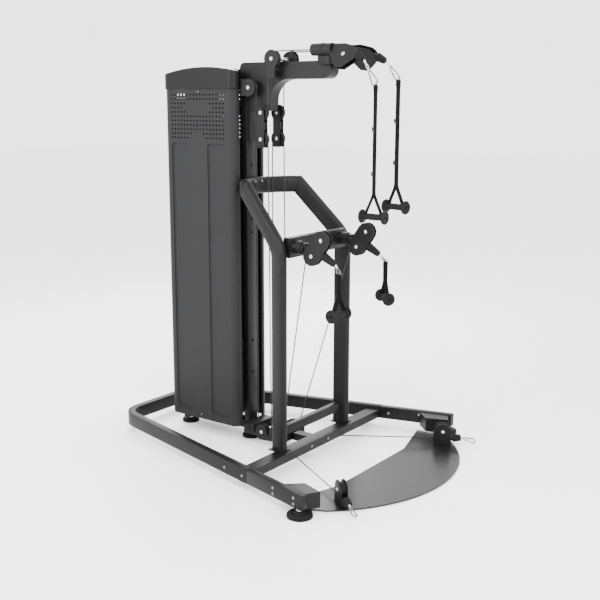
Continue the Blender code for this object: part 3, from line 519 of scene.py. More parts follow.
def fastener_tree():
    """Copies a fastener onto each point, turned so that its head faces the point's own direction."""
    tree, given = node_group("fasteners_on_points", (("Fastener", "NodeSocketObject"), ("Size", "NodeSocketFloat"),
                                                     ("Finish", "NodeSocketMaterial")))
    fastener = add(tree, "GeometryNodeObjectInfo", Object=given["Fastener"])
    facing = add(tree, "GeometryNodeInputNamedAttribute", {"data_type": "FLOAT_VECTOR"}, Name="facing")
    turn = add(tree, "FunctionNodeAlignRotationToVector", {"axis": "Z"}, Vector=facing.outputs[0])
    size = add(tree, "ShaderNodeCombineXYZ", X=given["Size"], Y=given["Size"], Z=given["Size"])
    points = add(tree, "GeometryNodeMeshToPoints", Mesh=given["Geometry"])
    copies = add(tree, "GeometryNodeInstanceOnPoints", Points=points.outputs[0], Rotation=turn.outputs[0],
                 Instance=fastener.outputs["Geometry"], Scale=size.outputs[0])
    return close_group(tree, copies.outputs[0], given["Finish"])


def perforation_tree():
    """Cuts a round hole at each point out of the flat sheet whose edges are the given curves."""
    tree, given = node_group("perforated_sheet", (("Edges", "NodeSocketObject"), ("Hole radius", "NodeSocketFloat"),
                                                  ("Finish", "NodeSocketMaterial")))
    edges = add(tree, "GeometryNodeObjectInfo", Object=given["Edges"])
    ring = add(tree, "GeometryNodeCurvePrimitiveCircle", Resolution=12, Radius=given["Hole radius"])
    points = add(tree, "GeometryNodeMeshToPoints", Mesh=given["Geometry"])
    holes = add(tree, "GeometryNodeInstanceOnPoints", Points=points.outputs[0], Instance=ring.outputs[0])
    real = add(tree, "GeometryNodeRealizeInstances", Geometry=holes.outputs[0])
    both = tree.nodes.new("GeometryNodeJoinGeometry")
    tree.links.new(edges.outputs["Geometry"], both.inputs[0])
    tree.links.new(real.outputs[0], both.inputs[0])
    filled = add(tree, "GeometryNodeFillCurve", {"mode": "TRIANGLES"}, Curve=both.outputs[0])
    return close_group(tree, filled.outputs[0], given["Finish"])


def pile_tree():
    """Copies one weight plate upwards at an even pitch."""
    tree, given = node_group("pile_of_plates", (("Count", "NodeSocketInt"), ("Pitch", "NodeSocketFloat"),
                                                ("Finish", "NodeSocketMaterial")))
    step = add(tree, "ShaderNodeCombineXYZ", Z=given["Pitch"])
    line = add(tree, "GeometryNodeMeshLine", Count=given["Count"], Offset=step.outputs[0])
    copies = add(tree, "GeometryNodeInstanceOnPoints", Points=line.outputs[0], Instance=given["Geometry"])
    return close_group(tree, copies.outputs[0], given["Finish"])


FASTENERS = fastener_tree()
PERFORATION = perforation_tree()
PILE = pile_tree()


# ---------------------------------------------------------------- fasteners
def button_head():
    """A domed cap screw with a hexagon socket, on its washer; one unit is a 1 metre wide head."""
    sides = 12
    profile = ((0.68, 0.0), (0.68, 0.09), (0.64, 0.11), (0.5, 0.12), (0.5, 0.22), (0.44, 0.36), (0.3, 0.44),
               (0.22, 0.45))
    bm = bmesh.new()
    rows = [ring_of(bm, r, h, sides) for r, h in profile]
    for height in (0.45, 0.2):
        socket = [(0.165 if i % 2 else 0.19, 2 * pi * i / sides) for i in range(sides)]
        rows.append([bm.verts.new((r * cos(a), r * sin(a), height)) for r, a in socket])
    skin(bm, rows)
    return from_bmesh("button_head_pattern", bm, ZINC, 30)


def hexagon_nut():
    """A nut with the end of its stud; one unit is 1 metre."""
    bm = bmesh.new()
    skin(bm, [ring_of(bm, r, h, 6) for r, h in ((0.53, 0.0), (0.58, 0.05), (0.58, 0.4), (0.53, 0.46), (0.3, 0.46),
                                               (0.26, 0.6))])
    return from_bmesh("hexagon_nut_pattern", bm, ZINC, 30)


BUTTON_HEAD = button_head()
NUT = hexagon_nut()


def fasteners(name, body, places, size, pattern=BUTTON_HEAD, finish_as=ZINC):
    obj = points_mesh(name, places)
    grow(obj, FASTENERS, {"Fastener": pattern, "Size": size, "Finish": finish_as})
    soften(obj.data, 30)
    finish(obj, body)


def leg_face(side, y, z, outer):
    """A point on a floor leg's vertical face and the way that face looks."""
    s = dict(SIDES)[side]
    slant = sqrt(1 + LEG_SPLAY ** 2)
    sign = 1 if outer else -1
    x = LEG_HALF - LEG_SPLAY * y + sign * LEG_WIDE / 2 * slant
    return (s * x, y, z), (s * sign / slant, sign * LEG_SPLAY / slant, 0)


# ---------------------------------------------------------------- camera, floor and light
def studio():
    camera_data = bpy.data.cameras.new("camera")
    camera_data.lens = 57.77
    camera_data.sensor_width = 36.0
    camera = bpy.data.objects.new("camera", camera_data)
    bpy.context.scene.collection.objects.link(camera)
    azimuth, drop, roll = radians(36.063), radians(11.714), radians(0.12)
    forward = Vector((cos(azimuth) * cos(drop), sin(azimuth) * cos(drop), -sin(drop)))
    right = forward.cross(Vector((0, 0, 1))).normalized()
    up = right.cross(forward)
    turn = Matrix((right, up, -forward)).transposed() @ Matrix.Rotation(roll, 3, "Z")
    camera.matrix_world = Matrix.Translation((-4.43665, -3.31480, 2.04976)) @ turn.to_4x4()
    bpy.context.scene.camera = camera

    mat = new_material("white_studio_floor", "fbfbfb", 0.85)[0]
    bm = bmesh.new()
    bmesh.ops.create_grid(bm, x_segments=8, y_segments=8, size=30)
    floor = from_bmesh("studio_floor", bm, mat)
    floor.data.transform(Matrix.Translation((0, 0, -0.0005)))

    world = bpy.data.worlds.new("white_room")
    world.use_nodes = True
    background = world.node_tree.nodes["Background"]
    background.inputs["Color"].default_value = (1.0, 1.0, 1.0, 1.0)
    background.inputs["Strength"].default_value = 3.2
    bpy.context.scene.world = world
    for name, place, size, power in (("key_softbox", (-3.5, -4.5, 4.6), 2.6, 420),
                                     ("side_softbox", (-5.0, 1.8, 3.2), 2.2, 260),
                                     ("rim_softbox", (3.4, 3.2, 3.8), 2.4, 300)):
        light = bpy.data.lights.new(name, "AREA")
        light.size = size
        light.energy = power
        lamp = bpy.data.objects.new(name, light)
        bpy.context.scene.collection.objects.link(lamp)
        aim = Vector((0, 0, 1.1)) - Vector(place)
        lamp.matrix_world = Matrix.Translation(place) @ aim.to_track_quat("-Z", "Y").to_matrix().to_4x4()


# ---------------------------------------------------------------- CAD nodes with finished edges
DRESSED = {
    "base_bow_rear": 0.0, "base_leg_left": 0.0, "base_leg_right": 0.0, "cross_tube_front": 0.0015,
    "cross_bar_lower": 0.0, "beam_middle": 0.004, "post_left": 0.0, "post_right": 0.0, "cross_tube_upper": 0.0,
    "column_front": 0.0, "column_rear": 0.003, "boom_arm": 0.0012, "block_left": 0.0010, "block_right": 0.0010,
    "top_head_left": 0.0008, "top_head_right": 0.0008,
    "mid_head_left": 0.0008, "mid_head_right": 0.0008, "tower_cap": 0.004, "guide_rods": 0.0,
    "selector_pin": 0.0010, "foot_plate": 0.0012,
}


def carve(obj, tool):
    """Take the tool's volume out of an object and remove the tool."""
    mod = obj.modifiers.new("carve", "BOOLEAN")
    mod.operation = "DIFFERENCE"
    mod.solver = "EXACT"
    mod.object = tool
    bake(obj)
    bpy.data.objects.remove(tool)


def round_cheeks(obj):
    """Shape the base pulleys' cheeks as discs above a low strip."""
    cheek_x, disc = 0.099, 0.043
    size, middle = (0.009, 0.300, 0.067, 1), (0.077, 0.1115)
    for side, s in SIDES:
        bm = bmesh.new()
        bmesh.ops.create_cube(bm, size=1)
        place = Matrix.Translation((s * cheek_x, *middle)) @ Matrix.Diagonal(size)
        bmesh.ops.transform(bm, matrix=place, verts=bm.verts)
        tool = from_bmesh("tool", bm, TUBE_PAINT)
        for name in ("base_pulley_rear_spin", "base_pulley_front_spin"):
            axle = joint_place(name)
            base = (s * cheek_x - 0.01, axle.y, axle.z)
            carve(tool, lathe("disc", [(disc, 0.0), (disc, 0.02)], base, (1, 0, 0), TUBE_PAINT, 40))
        carve(obj, tool)


def dress(node, width):
    """A copy of a CAD node with its triangles merged, flat areas cleaned and edges softened."""
    bm = bmesh.new()
    bm.from_mesh(frame["nodes"][node].data)
    bmesh.ops.remove_doubles(bm, verts=bm.verts, dist=0.00002)
    bmesh.ops.dissolve_limit(bm, angle_limit=radians(0.5), verts=bm.verts, edges=bm.edges)
    mesh = bpy.data.meshes.new(node + "_finished")
    bm.to_mesh(mesh)
    bm.free()
    material = CAP_PLASTIC if node == "tower_cap" else FINISH[SLOT_OF[node]]
    obj = new_object(node + "_finished", mesh, material)
    soften(mesh, 35)
    if node == "cross_tube_front":
        round_cheeks(obj)
    if width:
        edge_bevel(obj, width)
        bake(obj)
    finish(obj, BODY_OF[node], [node])


def paint_nodes():
    """Whatever stays as CAD gets its real finish too."""
    for name, node in frame["nodes"].items():
        node.data.materials.clear()
        node.data.materials.append(FINISH[SLOT_OF[name]])


# ---------------------------------------------------------------- pulleys
def sheave_profile():
    """Half section of a cable pulley: hub, web, two rims and the groove, from one face to the other."""
    face, rim, web = 0.0105, 0.0108, 0.0055
    outside = [(0.0075, -face), (0.0130, -face), (0.0145, -web), (0.0310, -web), (0.0335, -rim), (0.0440, -rim),
               (SHEAVE, -0.0098), (0.0388, -0.0042), (0.0380, 0.0)]
    return outside + [(r, -h) for r, h in reversed(outside[:-1])]


def sheave(name, centre, axis):
    """One pulley with its web recessed between hub and rim."""
    return lathe(name, sheave_profile(), centre, axis, NYLON, 40, 30, closed=True)


def pulleys():
    for joint in frame["joints"]:
        if not joint["name"].endswith(("spin", "spin_left", "spin_right")):
            continue
        centre, axis, body = Vector(joint["pos_m"]), Vector(joint["axis"]), joint["child"]
        if abs(centre.x) < 0.001:
            pair = [sheave("%s_%d" % (body, i), centre + axis * offset, axis)
                    for i, offset in enumerate((-LINE_X, LINE_X))]
            sleeve = lathe("sleeve", [(0.0085, -0.064), (0.0105, -0.062), (0.0105, 0.062), (0.0085, 0.064)],
                           centre, axis, ZINC)
            obj = join(body + "_pair", pair + [sleeve])
        else:
            obj = sheave(body + "_sheave", centre, axis)
        finish(obj, body, [body])


def axle_bolts():
    """A domed screw on each end of every axle whose end can be seen."""
    reach = {"base_pulley": 0.101, "boom_pulley": 0.099, "column_pulley": 0.099, "block": 0.0175, "low": 0.0213,
             "top": 0.0175, "mid": 0.0175}
    by_body = {}
    for name, joint in JOINTS.items():
        if "spin" not in name or name.startswith("tower"):
            continue
        offset = next(value for key, value in reach.items() if name.startswith(key))
        centre, axis = Vector(joint["pos_m"]), Vector(joint["axis"]).normalized()
        for sign in (-1, 1):
            by_body.setdefault(joint["parent"], []).append((centre + axis * sign * offset, axis * sign))
    for body, places in by_body.items():
        fasteners("axle_screws_" + body, body, places, 0.0155)
    for side, s in SIDES:
        lower = joint_place("block_lower_spin_" + side)
        rivets = [((lower.x + sign * 0.0175, lower.y + y, lower.z - drop), (sign, 0, 0)) for sign in (-1, 1)
                  for y, drop in ((0.0, 0.022), (-0.008, 0.036), (0.008, 0.036))]
        fasteners("block_rivets_" + side, "block_" + side, rivets, 0.006, finish_as=CAP_PLASTIC)


# ---------------------------------------------------------------- low pulley stations
def upright_sheet(name, outline, low, high, material, place, width):
    """A sheet that stands across the X axis between low and high, then is put in its place."""
    stand = Matrix(((0, 0, 1, (low + high) / 2), (1, 0, 0, 0), (0, 1, 0, 0), (0, 0, 0, 1)))
    return bake(edge_bevel(sheet_from_outlines(name, [outline], high - low, material, place @ stand), width))


def tombstone(z, radius, bottom):
    """A half disc about the pulley's centre on straight sides."""
    return arc((0, z), radius, 0, 180, 24) + [(-radius, bottom), (radius, bottom)]


def pulley_housing(place, z, floor):
    """Two ribbed cheeks with their foot, the nose that the cable leaves through, and the axle."""
    cheek, rib, rib_step = 0.005, 0.0016, 0.0014
    parts = []
    for low in (-0.0185, 0.0135):
        parts.append(upright_sheet("cheek", tombstone(z, 0.051, floor + 0.006), low, low + cheek, CAP_PLASTIC, place,
                                   0.0014))
        sign, out = (-1, low - rib) if low < 0 else (1, low + cheek)
        for i, (radius, below) in enumerate(((0.043, 0.03), (0.034, 0.022))):
            near = out + sign * rib_step * i
            parts.append(upright_sheet("rib", tombstone(z, radius, z - below), near, near + rib, CAP_PLASTIC, place,
                                       0.0006))
    parts.append(sheet_from_outlines("housing_foot", [rounded_outline(-0.0215, 0.0215, -0.056, 0.056, 0.006)], 0.0055,
                                     CAP_PLASTIC, place @ Matrix.Translation((0, 0, floor + 0.00285))))
    turn = place.to_3x3()
    parts.append(lathe("nose", [(0.016, 0.0), (0.018, 0.002), (0.018, 0.019)], place @ Vector((0, -0.047, z - PITCH)),
                       turn @ Vector((0, -1, 0)), CAP_PLASTIC))
    parts.append(lathe("axle", [(0.0072, -0.018), (0.0072, 0.018)], place @ Vector((0, 0, z)),
                       turn @ Vector((1, 0, 0)), ZINC))
    return parts


def low_stations():
    """A short welded box on the leg, and a black pulley housing that stands on the plate at its end."""
    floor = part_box("foot_plate")[1].z + GAP
    across = LEG_WIDE / 2 * sqrt(1 + LEG_SPLAY ** 2) + GAP
    box_length = 0.42        # share of the way from the leg to the pulley
    for side, s in SIDES:
        pulley = joint_place("low_pulley_spin_" + side)
        place = Matrix.Translation((pulley.x, pulley.y, 0)) @ Matrix.Rotation(s * LOW_TURN, 4, "Z")
        inner = [(s * (LEG_HALF - LEG_SPLAY * y - across), y) for y in (-0.500, -0.675)]
        near = [tuple((place @ Vector((s * 0.016, v, 0)))[:2]) for v in (0.046, -0.046)]
        end = [tuple(a + (b - a) * box_length for a, b in zip(*pair)) for pair in zip(inner, near)]
        box = sheet_from_outlines("box_arm", [[*inner, *end[::-1]]], 0.086, TUBE_PAINT,
                                  Matrix.Translation((0, 0, 0.075)))
        parts = [bake(edge_bevel(box, 0.003))] + pulley_housing(place, pulley.z, floor)
        finish(join("low_station_" + side, parts), "frame", ["low_bracket_" + side])


# ---------------------------------------------------------------- tower
TOWER_HALF, SHEET = 0.150, 0.003
TOWER_FRONT, TOWER_REAR = 0.275, 0.822
CORNER = 0.045
PANEL_CORNER = 0.022
PANEL_TOP = 1.800
PANELS = ((0.336, 0.482), (0.624, 0.764))     # the two long recessed panels, front and rear
PIN_SLOT = (0.525, 0.559, 0.125, 1.42)          # on the right side only
PERF_Y, PERF_Z = 0.756, 2.081                 # the rear top hole of the perforated field
PERF_PITCH = 0.0249
PERF_BLANK = {2: (5, 12), 3: (4, 13), 4: (5, 12), 9: (7, 10), 10: (6, 11)}


def perforation_places():
    """Seventeen columns by eleven rows, with the plain places for a badge and for a finger pull left out."""
    places = []
    for row in range(11):
        blank = PERF_BLANK.get(row, (0, 0))
        for column in range(17):
            if not blank[0] <= column < blank[1]:
                places.append((PERF_Y - column * PERF_PITCH, PERF_Z - row * PERF_PITCH))
    return places


def recessed_panel(name, y0, y1, z0, z1, s):
    """A pressed panel: its rim lies in the side's face and drops to a floor 7 mm deeper."""
    bm = bmesh.new()
    rows = []
    for inset, depth in ((0.0, 0.0090), (0.0, 0.0), (0.0008, 0.0010), (0.0024, 0.0064), (0.0036, 0.0070)):
        outline = rounded_outline(y0 + inset, y1 - inset, z0 + inset, z1 - inset, PANEL_CORNER - inset, 6)
        rows.append([bm.verts.new((s * (TOWER_HALF - depth), y, z)) for y, z in outline])
    skin(bm, rows)
    return from_bmesh(name, bm, SHEET_PAINT, 20)


def side_wall(side, s, outlines):
    """The flat face of a shroud: a sheet with cut-outs and the perforation, which stands at the tower's side."""
    curve = bpy.data.curves.new("side_edges_" + side, "CURVE")
    curve.dimensions = "3D"
    trace(curve, outlines)
    edges = bpy.data.objects.new("side_edges_" + side, curve)
    bpy.context.scene.collection.objects.link(edges)
    holes = bpy.data.meshes.new("perforation_" + side)
    holes.from_pydata([(y, z, 0.0) for y, z in perforation_places()], [], [])
    wall = bpy.data.objects.new("perforation_" + side, holes)
    bpy.context.scene.collection.objects.link(wall)
    grow(wall, PERFORATION, {"Edges": edges, "Hole radius": 0.0058, "Finish": SHEET_PAINT})
    bpy.data.objects.remove(edges)
    bm = bmesh.new()
    bm.from_mesh(wall.data)
    bmesh.ops.remove_doubles(bm, verts=bm.verts, dist=0.00001)
    bmesh.ops.recalc_face_normals(bm, faces=bm.faces)
    grown = bmesh.ops.extrude_face_region(bm, geom=bm.faces[:])["geom"]
    for vert in [v for v in grown if isinstance(v, bmesh.types.BMVert)]:
        vert.co.z += SHEET
    stand = Matrix(((0, 0, -s, s * TOWER_HALF), (1, 0, 0, 0), (0, 1, 0, 0), (0, 0, 0, 1)))
    bmesh.ops.transform(bm, matrix=stand, verts=bm.verts)
    bpy.data.objects.remove(wall)
    return from_bmesh("side_wall", bm, SHEET_PAINT)


def rolled_corner(front, s, z0, z1):
    """A quarter round from the side to the front or rear face, which ends in a folded lip."""
    sign, end_y, inner = (1, TOWER_FRONT, 0.100) if front else (-1, TOWER_REAR, 0.046)
    centre, start = (TOWER_HALF - CORNER, end_y + sign * CORNER), -90 if front else 0
    outside = arc(centre, CORNER, start, start + 90, 12)
    inside = arc(centre, CORNER - SHEET, start, start + 90, 12)[::-1]
    lip = [(inner, end_y), (inner, end_y + sign * 0.014), (inner + SHEET, end_y + sign * 0.014),
           (inner + SHEET, end_y + sign * SHEET)]
    outline = lip[1::-1] + outside + inside + lip[:1:-1] if front else outside + lip + inside
    return sheet_from_outlines("corner", [[(s * x, y) for x, y in outline]], z1 - z0, SHEET_PAINT,
                               Matrix.Translation((0, 0, (z0 + z1) / 2)))


def shroud(side, s):
    """Side cover of pressed sheet: perforated head, two long recessed panels and rolled corners."""
    low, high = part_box("shroud_" + side)
    z0, z1 = low.z, high.z
    y0, y1 = TOWER_FRONT + CORNER, TOWER_REAR - CORNER
    panels = [(a, b, z0 + 0.045, PANEL_TOP) for a, b in PANELS]
    outlines = [[(y0, z0), (y1, z0), (y1, z1), (y0, z1)]]
    outlines += [rounded_outline(*panel, PANEL_CORNER, 6) for panel in panels]
    if s > 0:
        outlines.append(rounded_outline(*PIN_SLOT, 0.012, 4))
    parts = [side_wall(side, s, outlines)]
    parts += [recessed_panel("panel_%d" % i, *panel, s) for i, panel in enumerate(panels)]
    parts += [rolled_corner(front, s, z0, z1) for front in (True, False)]
    finish(join("shroud_shell_" + side, parts), "frame", ["shroud_" + side])


def tower():
    for side, s in SIDES:
        shroud(side, s)
        for name, size, paint, rows in (("top", 0.007, DULL_ZINC, ((0.548, 2.098), (0.565, 0.128))),
                                        ("edge", 0.008, SHEET_PAINT, ((0.345, 2.098), (0.752, 2.098), (0.345, 0.128),
                                                                      (0.752, 0.128)))):
            places = [((s * TOWER_HALF, y, z), (s, 0, 0)) for y, z in rows]
            fasteners("shroud_screws_%s_%s" % (name, side), "frame", places, size, finish_as=paint)
    column_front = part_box("column_front")[0].y
    plugs = [((0, column_front, z), (0, -1, 0)) for z in (0.42, 0.62, 1.28, 1.36, 1.46, 1.68)]
    fasteners("column_screws", "frame", plugs, 0.016, finish_as=TUBE_PAINT)


def weights():
    """Cast plates with a chamfered edge and a dark gap under each one, and the yoke on top."""
    pitch, lower_count = 0.024, 14
    half_x, y0, y1 = 0.105, 0.367, 0.717
    for node, count in (("weight_stack_lower", lower_count), ("weight_stack_upper", 5)):
        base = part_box(node)[0].z if node == "weight_stack_lower" else 0.1304 + lower_count * pitch
        bm = bmesh.new()
        rows = []
        for inset, z in ((0.003, 0.0006), (0.0, 0.0034), (0.0, 0.0200), (0.003, 0.0230)):
            outline = rounded_outline(-half_x + inset, half_x - inset, y0 + inset, y1 - inset, 0.012, 3)
            rows.append([bm.verts.new((u, v, z)) for u, v in outline])
        skin(bm, rows)
        plate = from_bmesh("plates", bm, CAST_IRON)
        grow(plate, PILE, {"Count": count, "Pitch": pitch, "Finish": CAST_IRON})
        plate.data.transform(Matrix.Translation((0, 0, base)))
        soften(plate.data)
        parts = [plate]
        if node == "weight_stack_upper":
            top = base + count * pitch
            parts.append(sheet_from_outlines("yoke", [rounded_outline(-0.095, 0.095, 0.512, 0.572, 0.012)], 0.019,
                                             CAST_IRON, Matrix.Translation((0, 0, top + 0.0095))))
            rod, foot = 0.0095, 0.1404
            parts.append(lathe("selector", [(rod, 0.0), (rod, base - foot)], (0, 0.542, foot), (0, 0, 1), CHROME))
        finish(join(node + "_plates", parts), BODY_OF[node], [node])


# ---------------------------------------------------------------- cables
def wrap(x, axle, start, stop, steps=14):
    """The cable's points round a pulley in the plane at x, angles from +Y towards +Z in degrees."""
    return [Vector((x, y, z)) for y, z in arc((axle.y, axle.z), PITCH, start, stop, steps)]


def run(name, points, replaced=()):
    obj = sweep(name, points, circle_section(CABLE + 0.0004, 10), (1, 0, 0), CABLE_COAT)
    if replaced:
        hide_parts(*replaced)
    return obj


def straight(a, b, steps):
    a, b = Vector(a), Vector(b)
    return [a.lerp(b, i / steps) for i in range(1, steps)]


def swivelled(side, s, point):
    """A point of the high head turned outwards with it about the head's own axis."""
    axle = joint_place("top_head_swivel_" + side)
    centre = Matrix.Translation((axle.x, 0, axle.z))
    return centre @ Matrix.Rotation(-s * TOP_SWIVEL, 4, "Y") @ centre.inverted() @ Vector(point)


def upper_cable(side, s):
    """From the high head over the boom, round the block, over the column and tower pulleys to the stack."""
    boom, column = joint_place("boom_pulley_spin"), joint_place("column_pulley_spin")
    tower_axle = joint_place("tower_pulley_spin")
    upper, swivel = joint_place("block_upper_spin_" + side), joint_place("top_head_swivel_" + side)
    x, block = s * LINE_X, "block_" + side
    first = wrap(x, Vector((0, TOP_PULLEY_Y, swivel.z - PITCH)), 90 + TOP_EXIT * 180 / pi, 90, 10)
    outward = leaving(Vector(), TOP_EXIT)[1]
    head = [first[0] + outward * 0.060] + first + [Vector((x, BARREL_END_Y + 0.01, swivel.z))]
    piece = run("cable_in_head_" + side, [swivelled(side, s, p) for p in head], ["cable_upper"] if s < 0 else ())
    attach(piece, "top_head_" + side)

    down = [Vector((x, BARREL_END_Y + 0.012, swivel.z))] + wrap(x, boom, 90, 0)
    down += straight(down[-1], (x, boom.y + PITCH, upper.z), 12) + wrap(x, upper, 180, 270)
    piece = run("cable_boom_to_block_" + side, down)
    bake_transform(piece)

    up = wrap(x, upper, 270, 360)
    up += straight(up[-1], (x, upper.y + PITCH, column.z), 8) + wrap(x, column, 180, 90)
    up.append(Vector((x, tower_axle.y, tower_axle.z + PITCH)))
    piece = run("cable_block_to_tower_" + side, up)
    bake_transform(piece)

    end_y, stack_top = tower_axle.y + PITCH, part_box("weight_stack_upper")[1].z
    drop = wrap(x, tower_axle, 90, 0)
    drop += straight(drop[-1], (x, end_y, stack_top), 30) + [Vector((x, end_y, stack_top + 0.012))]
    piece = run("cable_tower_to_stack_" + side, drop)
    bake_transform(piece)
    profile = [(0.0055, 0.0), (0.0075, 0.002), (0.0075, 0.03), (0.0050, 0.036), (0.0042, 0.07)]
    stud = lathe("cable_end_" + side, profile,
                 (x, end_y, stack_top + 0.0004), (0, 0, 1), ZINC)
    finish(stud, "stack")


def lower_cable(side, s):
    """From the low pulley under the rear base pulley, over the block, under the front one, up to the chest head."""
    base_rear, base_front = joint_place("base_pulley_rear_spin"), joint_place("base_pulley_front_spin")
    lower, low = joint_place("block_lower_spin_" + side), joint_place("low_pulley_spin_" + side)
    mid = joint_place("mid_lower_spin_" + side)
    x, block = s * LINE_X, "block_" + side
    forward = Vector((s * sin(LOW_TURN), -cos(LOW_TURN), 0))
    start, under = low - Vector((0, 0, PITCH)), Vector((x, 0.020, base_rear.z - PITCH))
    rise = [start + forward * 0.060, start] + straight(start, under, 6) + [under] + wrap(x, base_rear, -90, 0)
    rise += straight(rise[-1], (x, base_rear.y + PITCH, lower.z), 30) + wrap(x, lower, 0, 90)
    piece = run("cable_low_to_block_" + side, rise, ["cable_lower_" + side])
    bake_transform(piece)

    fall = wrap(x, lower, 90, 180)
    fall += straight(fall[-1], (x, base_front.y + PITCH, base_front.z), 30) + wrap(x, base_front, 0, -90)
    piece = run("cable_block_to_base_" + side, fall)
    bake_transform(piece)

    climb = wrap(x, base_front, -90, -172)
    arrive = wrap(mid.x, mid, 10, 90 + MID_EXIT * 180 / pi)
    outward = leaving(mid, MID_EXIT)[1]
    climb += straight(climb[-1], arrive[0], 24) + arrive + [arrive[-1] + outward * 0.052]
    piece = run("cable_base_to_head_" + side, climb)
    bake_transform(piece)


def cables():
    for side, s in SIDES:
        upper_cable(side, s)
        lower_cable(side, s)


# ---------------------------------------------------------------- stops, hooks, straps and grips
def ball_stop(name, body, base, direction, length, wide, narrow):
    """The rubber stop at the cable's end: ribbed cone that rests against the pulley cheeks."""
    profile = [(wide * 0.8, 0.0), (wide, 0.003)]
    ribs = 5
    for i in range(ribs):
        start = 0.006 + (length - 0.012) * i / ribs
        step = (length - 0.012) / ribs
        radius = wide + (narrow - wide) * (start / length)
        profile += [(radius, start), (radius + 0.0006, start + step * 0.35), (radius + 0.0002, start + step * 0.7),
                    (radius - 0.0011, start + step * 0.85)]
    profile += [(narrow, length - 0.004), (narrow * 0.75, length)]
    finish(lathe(name, profile, base, direction, RUBBER, 32, 50), body)


def pear_path(start, end, wide, flat, share=0.62):
    """The closed outline of a spring hook, narrow at start and wide at end."""
    start, end = Vector(start), Vector(end)
    length = (end - start).length
    forward = (end - start).normalized()
    across = square_to(forward, flat)
    big, small = wide / 2, wide / 2 * share / 1.6
    outline = arc((length - big, 0), big, -80, 80, 10) + arc((small, 0), small, 100, 260, 8)
    return smooth_closed([start + forward * u + across * v for u, v in outline])


def spring_hook(start, end, wide, flat):
    """A plated spring hook with its gate's sleeve."""
    wire = 0.0036
    forward = (end - start).normalized()
    across = square_to(forward, flat)
    body = sweep("hook", pear_path(start, end, wide, flat), circle_section(wire, 10), forward.cross(across), CHROME,
                 closed=True)
    length = (end - start).length
    gate_low = start + forward * length * 0.38 + across * wide * 0.285
    gate_high = start + forward * length * 0.66 + across * wide * 0.41
    gate, thick = (gate_high - gate_low).length, wire * 1.25
    profile = [(wire * 0.9, 0.0), (thick, 0.001), (thick, gate - 0.001), (wire * 0.9, gate)]
    return [body, lathe("gate", profile, gate_low, gate_high - gate_low, CHROME, 14)]


def ring(centre, radius, wire, normal):
    side = normal.orthogonal().normalized()
    other = normal.cross(side)
    angles = [2 * pi * i / 20 for i in range(20)]
    points = [centre + side * radius * cos(a) + other * radius * sin(a) for a in angles]
    return sweep("ring", points, circle_section(wire, 8), normal, CHROME, closed=True)


def link(start, end, flat):
    """A narrow oval link of bright wire."""
    wire, wide = 0.0019, 0.0125
    return sweep("link", pear_path(start, end, wide, flat, 1.6), circle_section(wire, 8), (0.3, 0.5, 0.8), ZINC,
                 closed=True)


def hook_set(name, body, stop_end, hook_top, flat):
    """Eye on the cable's end, links that lie crosswise in turn, and the spring hook."""
    forward = (hook_top - stop_end).normalized()
    across = square_to(forward, flat)
    start = hook_top - forward * min(0.084, (hook_top - stop_end).length - 0.014)
    parts = [lathe("eye_stem", [(0.0045, 0.0), (0.0060, 0.002), (0.0060, 0.012), (0.003, 0.016)],
                   stop_end - forward * 0.004, forward, ZINC, 16)]
    overlap = 0.0025
    gap = (start - stop_end).length - 0.008
    count = max(1, round(gap / 0.018))
    for i in range(count):
        low = stop_end + forward * (0.009 + gap * i / count - overlap)
        high = stop_end + forward * (0.009 + gap * (i + 1) / count + overlap)
        parts.append(link(low, high, across if i % 2 else forward.cross(across)))
    parts += spring_hook(start, hook_top, 0.036, flat)
    finish(join(name, parts), body)


def strip(name, points, width, thick, across):
    """Webbing along a route, with rounded edges."""
    half, edge = width / 2, thick / 2
    flat = half - edge * 0.3
    section = [(flat, -edge), (half, 0), (flat, edge), (0, edge * 1.08), (-flat, edge), (-half, 0), (-flat, -edge),
               (0, -edge * 1.08)]
    return sweep(name, points, section, across, WEBBING, smooth=40)


def stitch_pattern():
    """One short stitch, longer than wide, lying on the webbing."""
    bm = bmesh.new()
    bmesh.ops.create_icosphere(bm, subdivisions=1, radius=1.0)
    bmesh.ops.transform(bm, matrix=Matrix.Diagonal((0.5, 1.0, 0.4, 1.0)), verts=bm.verts)
    return from_bmesh("stitch_pattern", bm, THREAD, 80)


STITCH = stitch_pattern()
GRIP_TURN = {"top_grip_left": 0.0, "top_grip_right": radians(-10), "mid_grip_left": radians(90),
             "mid_grip_right": radians(-41)}
HOOK_TOP = {"top_grip_left": 2.125, "top_grip_right": 2.155, "mid_grip_left": 1.138, "mid_grip_right": 1.150}
FORK = {"top": 0.120, "mid": 0.105}            # height of the fork over the grip's middle
STRAP_WIDE = {"top": 0.031, "mid": 0.028}
D_RINGS = {"top_strap_left": (1.905, 1.676), "top_strap_right": (1.943, 1.720)}


def up(height):
    return Vector((0, 0, height))


def grip_axes(grip_node):
    """The grip's own direction and the one across it, both level."""
    turn = GRIP_TURN[grip_node]
    return Vector((-sin(turn), cos(turn), 0)), Vector((cos(turn), sin(turn), 0))


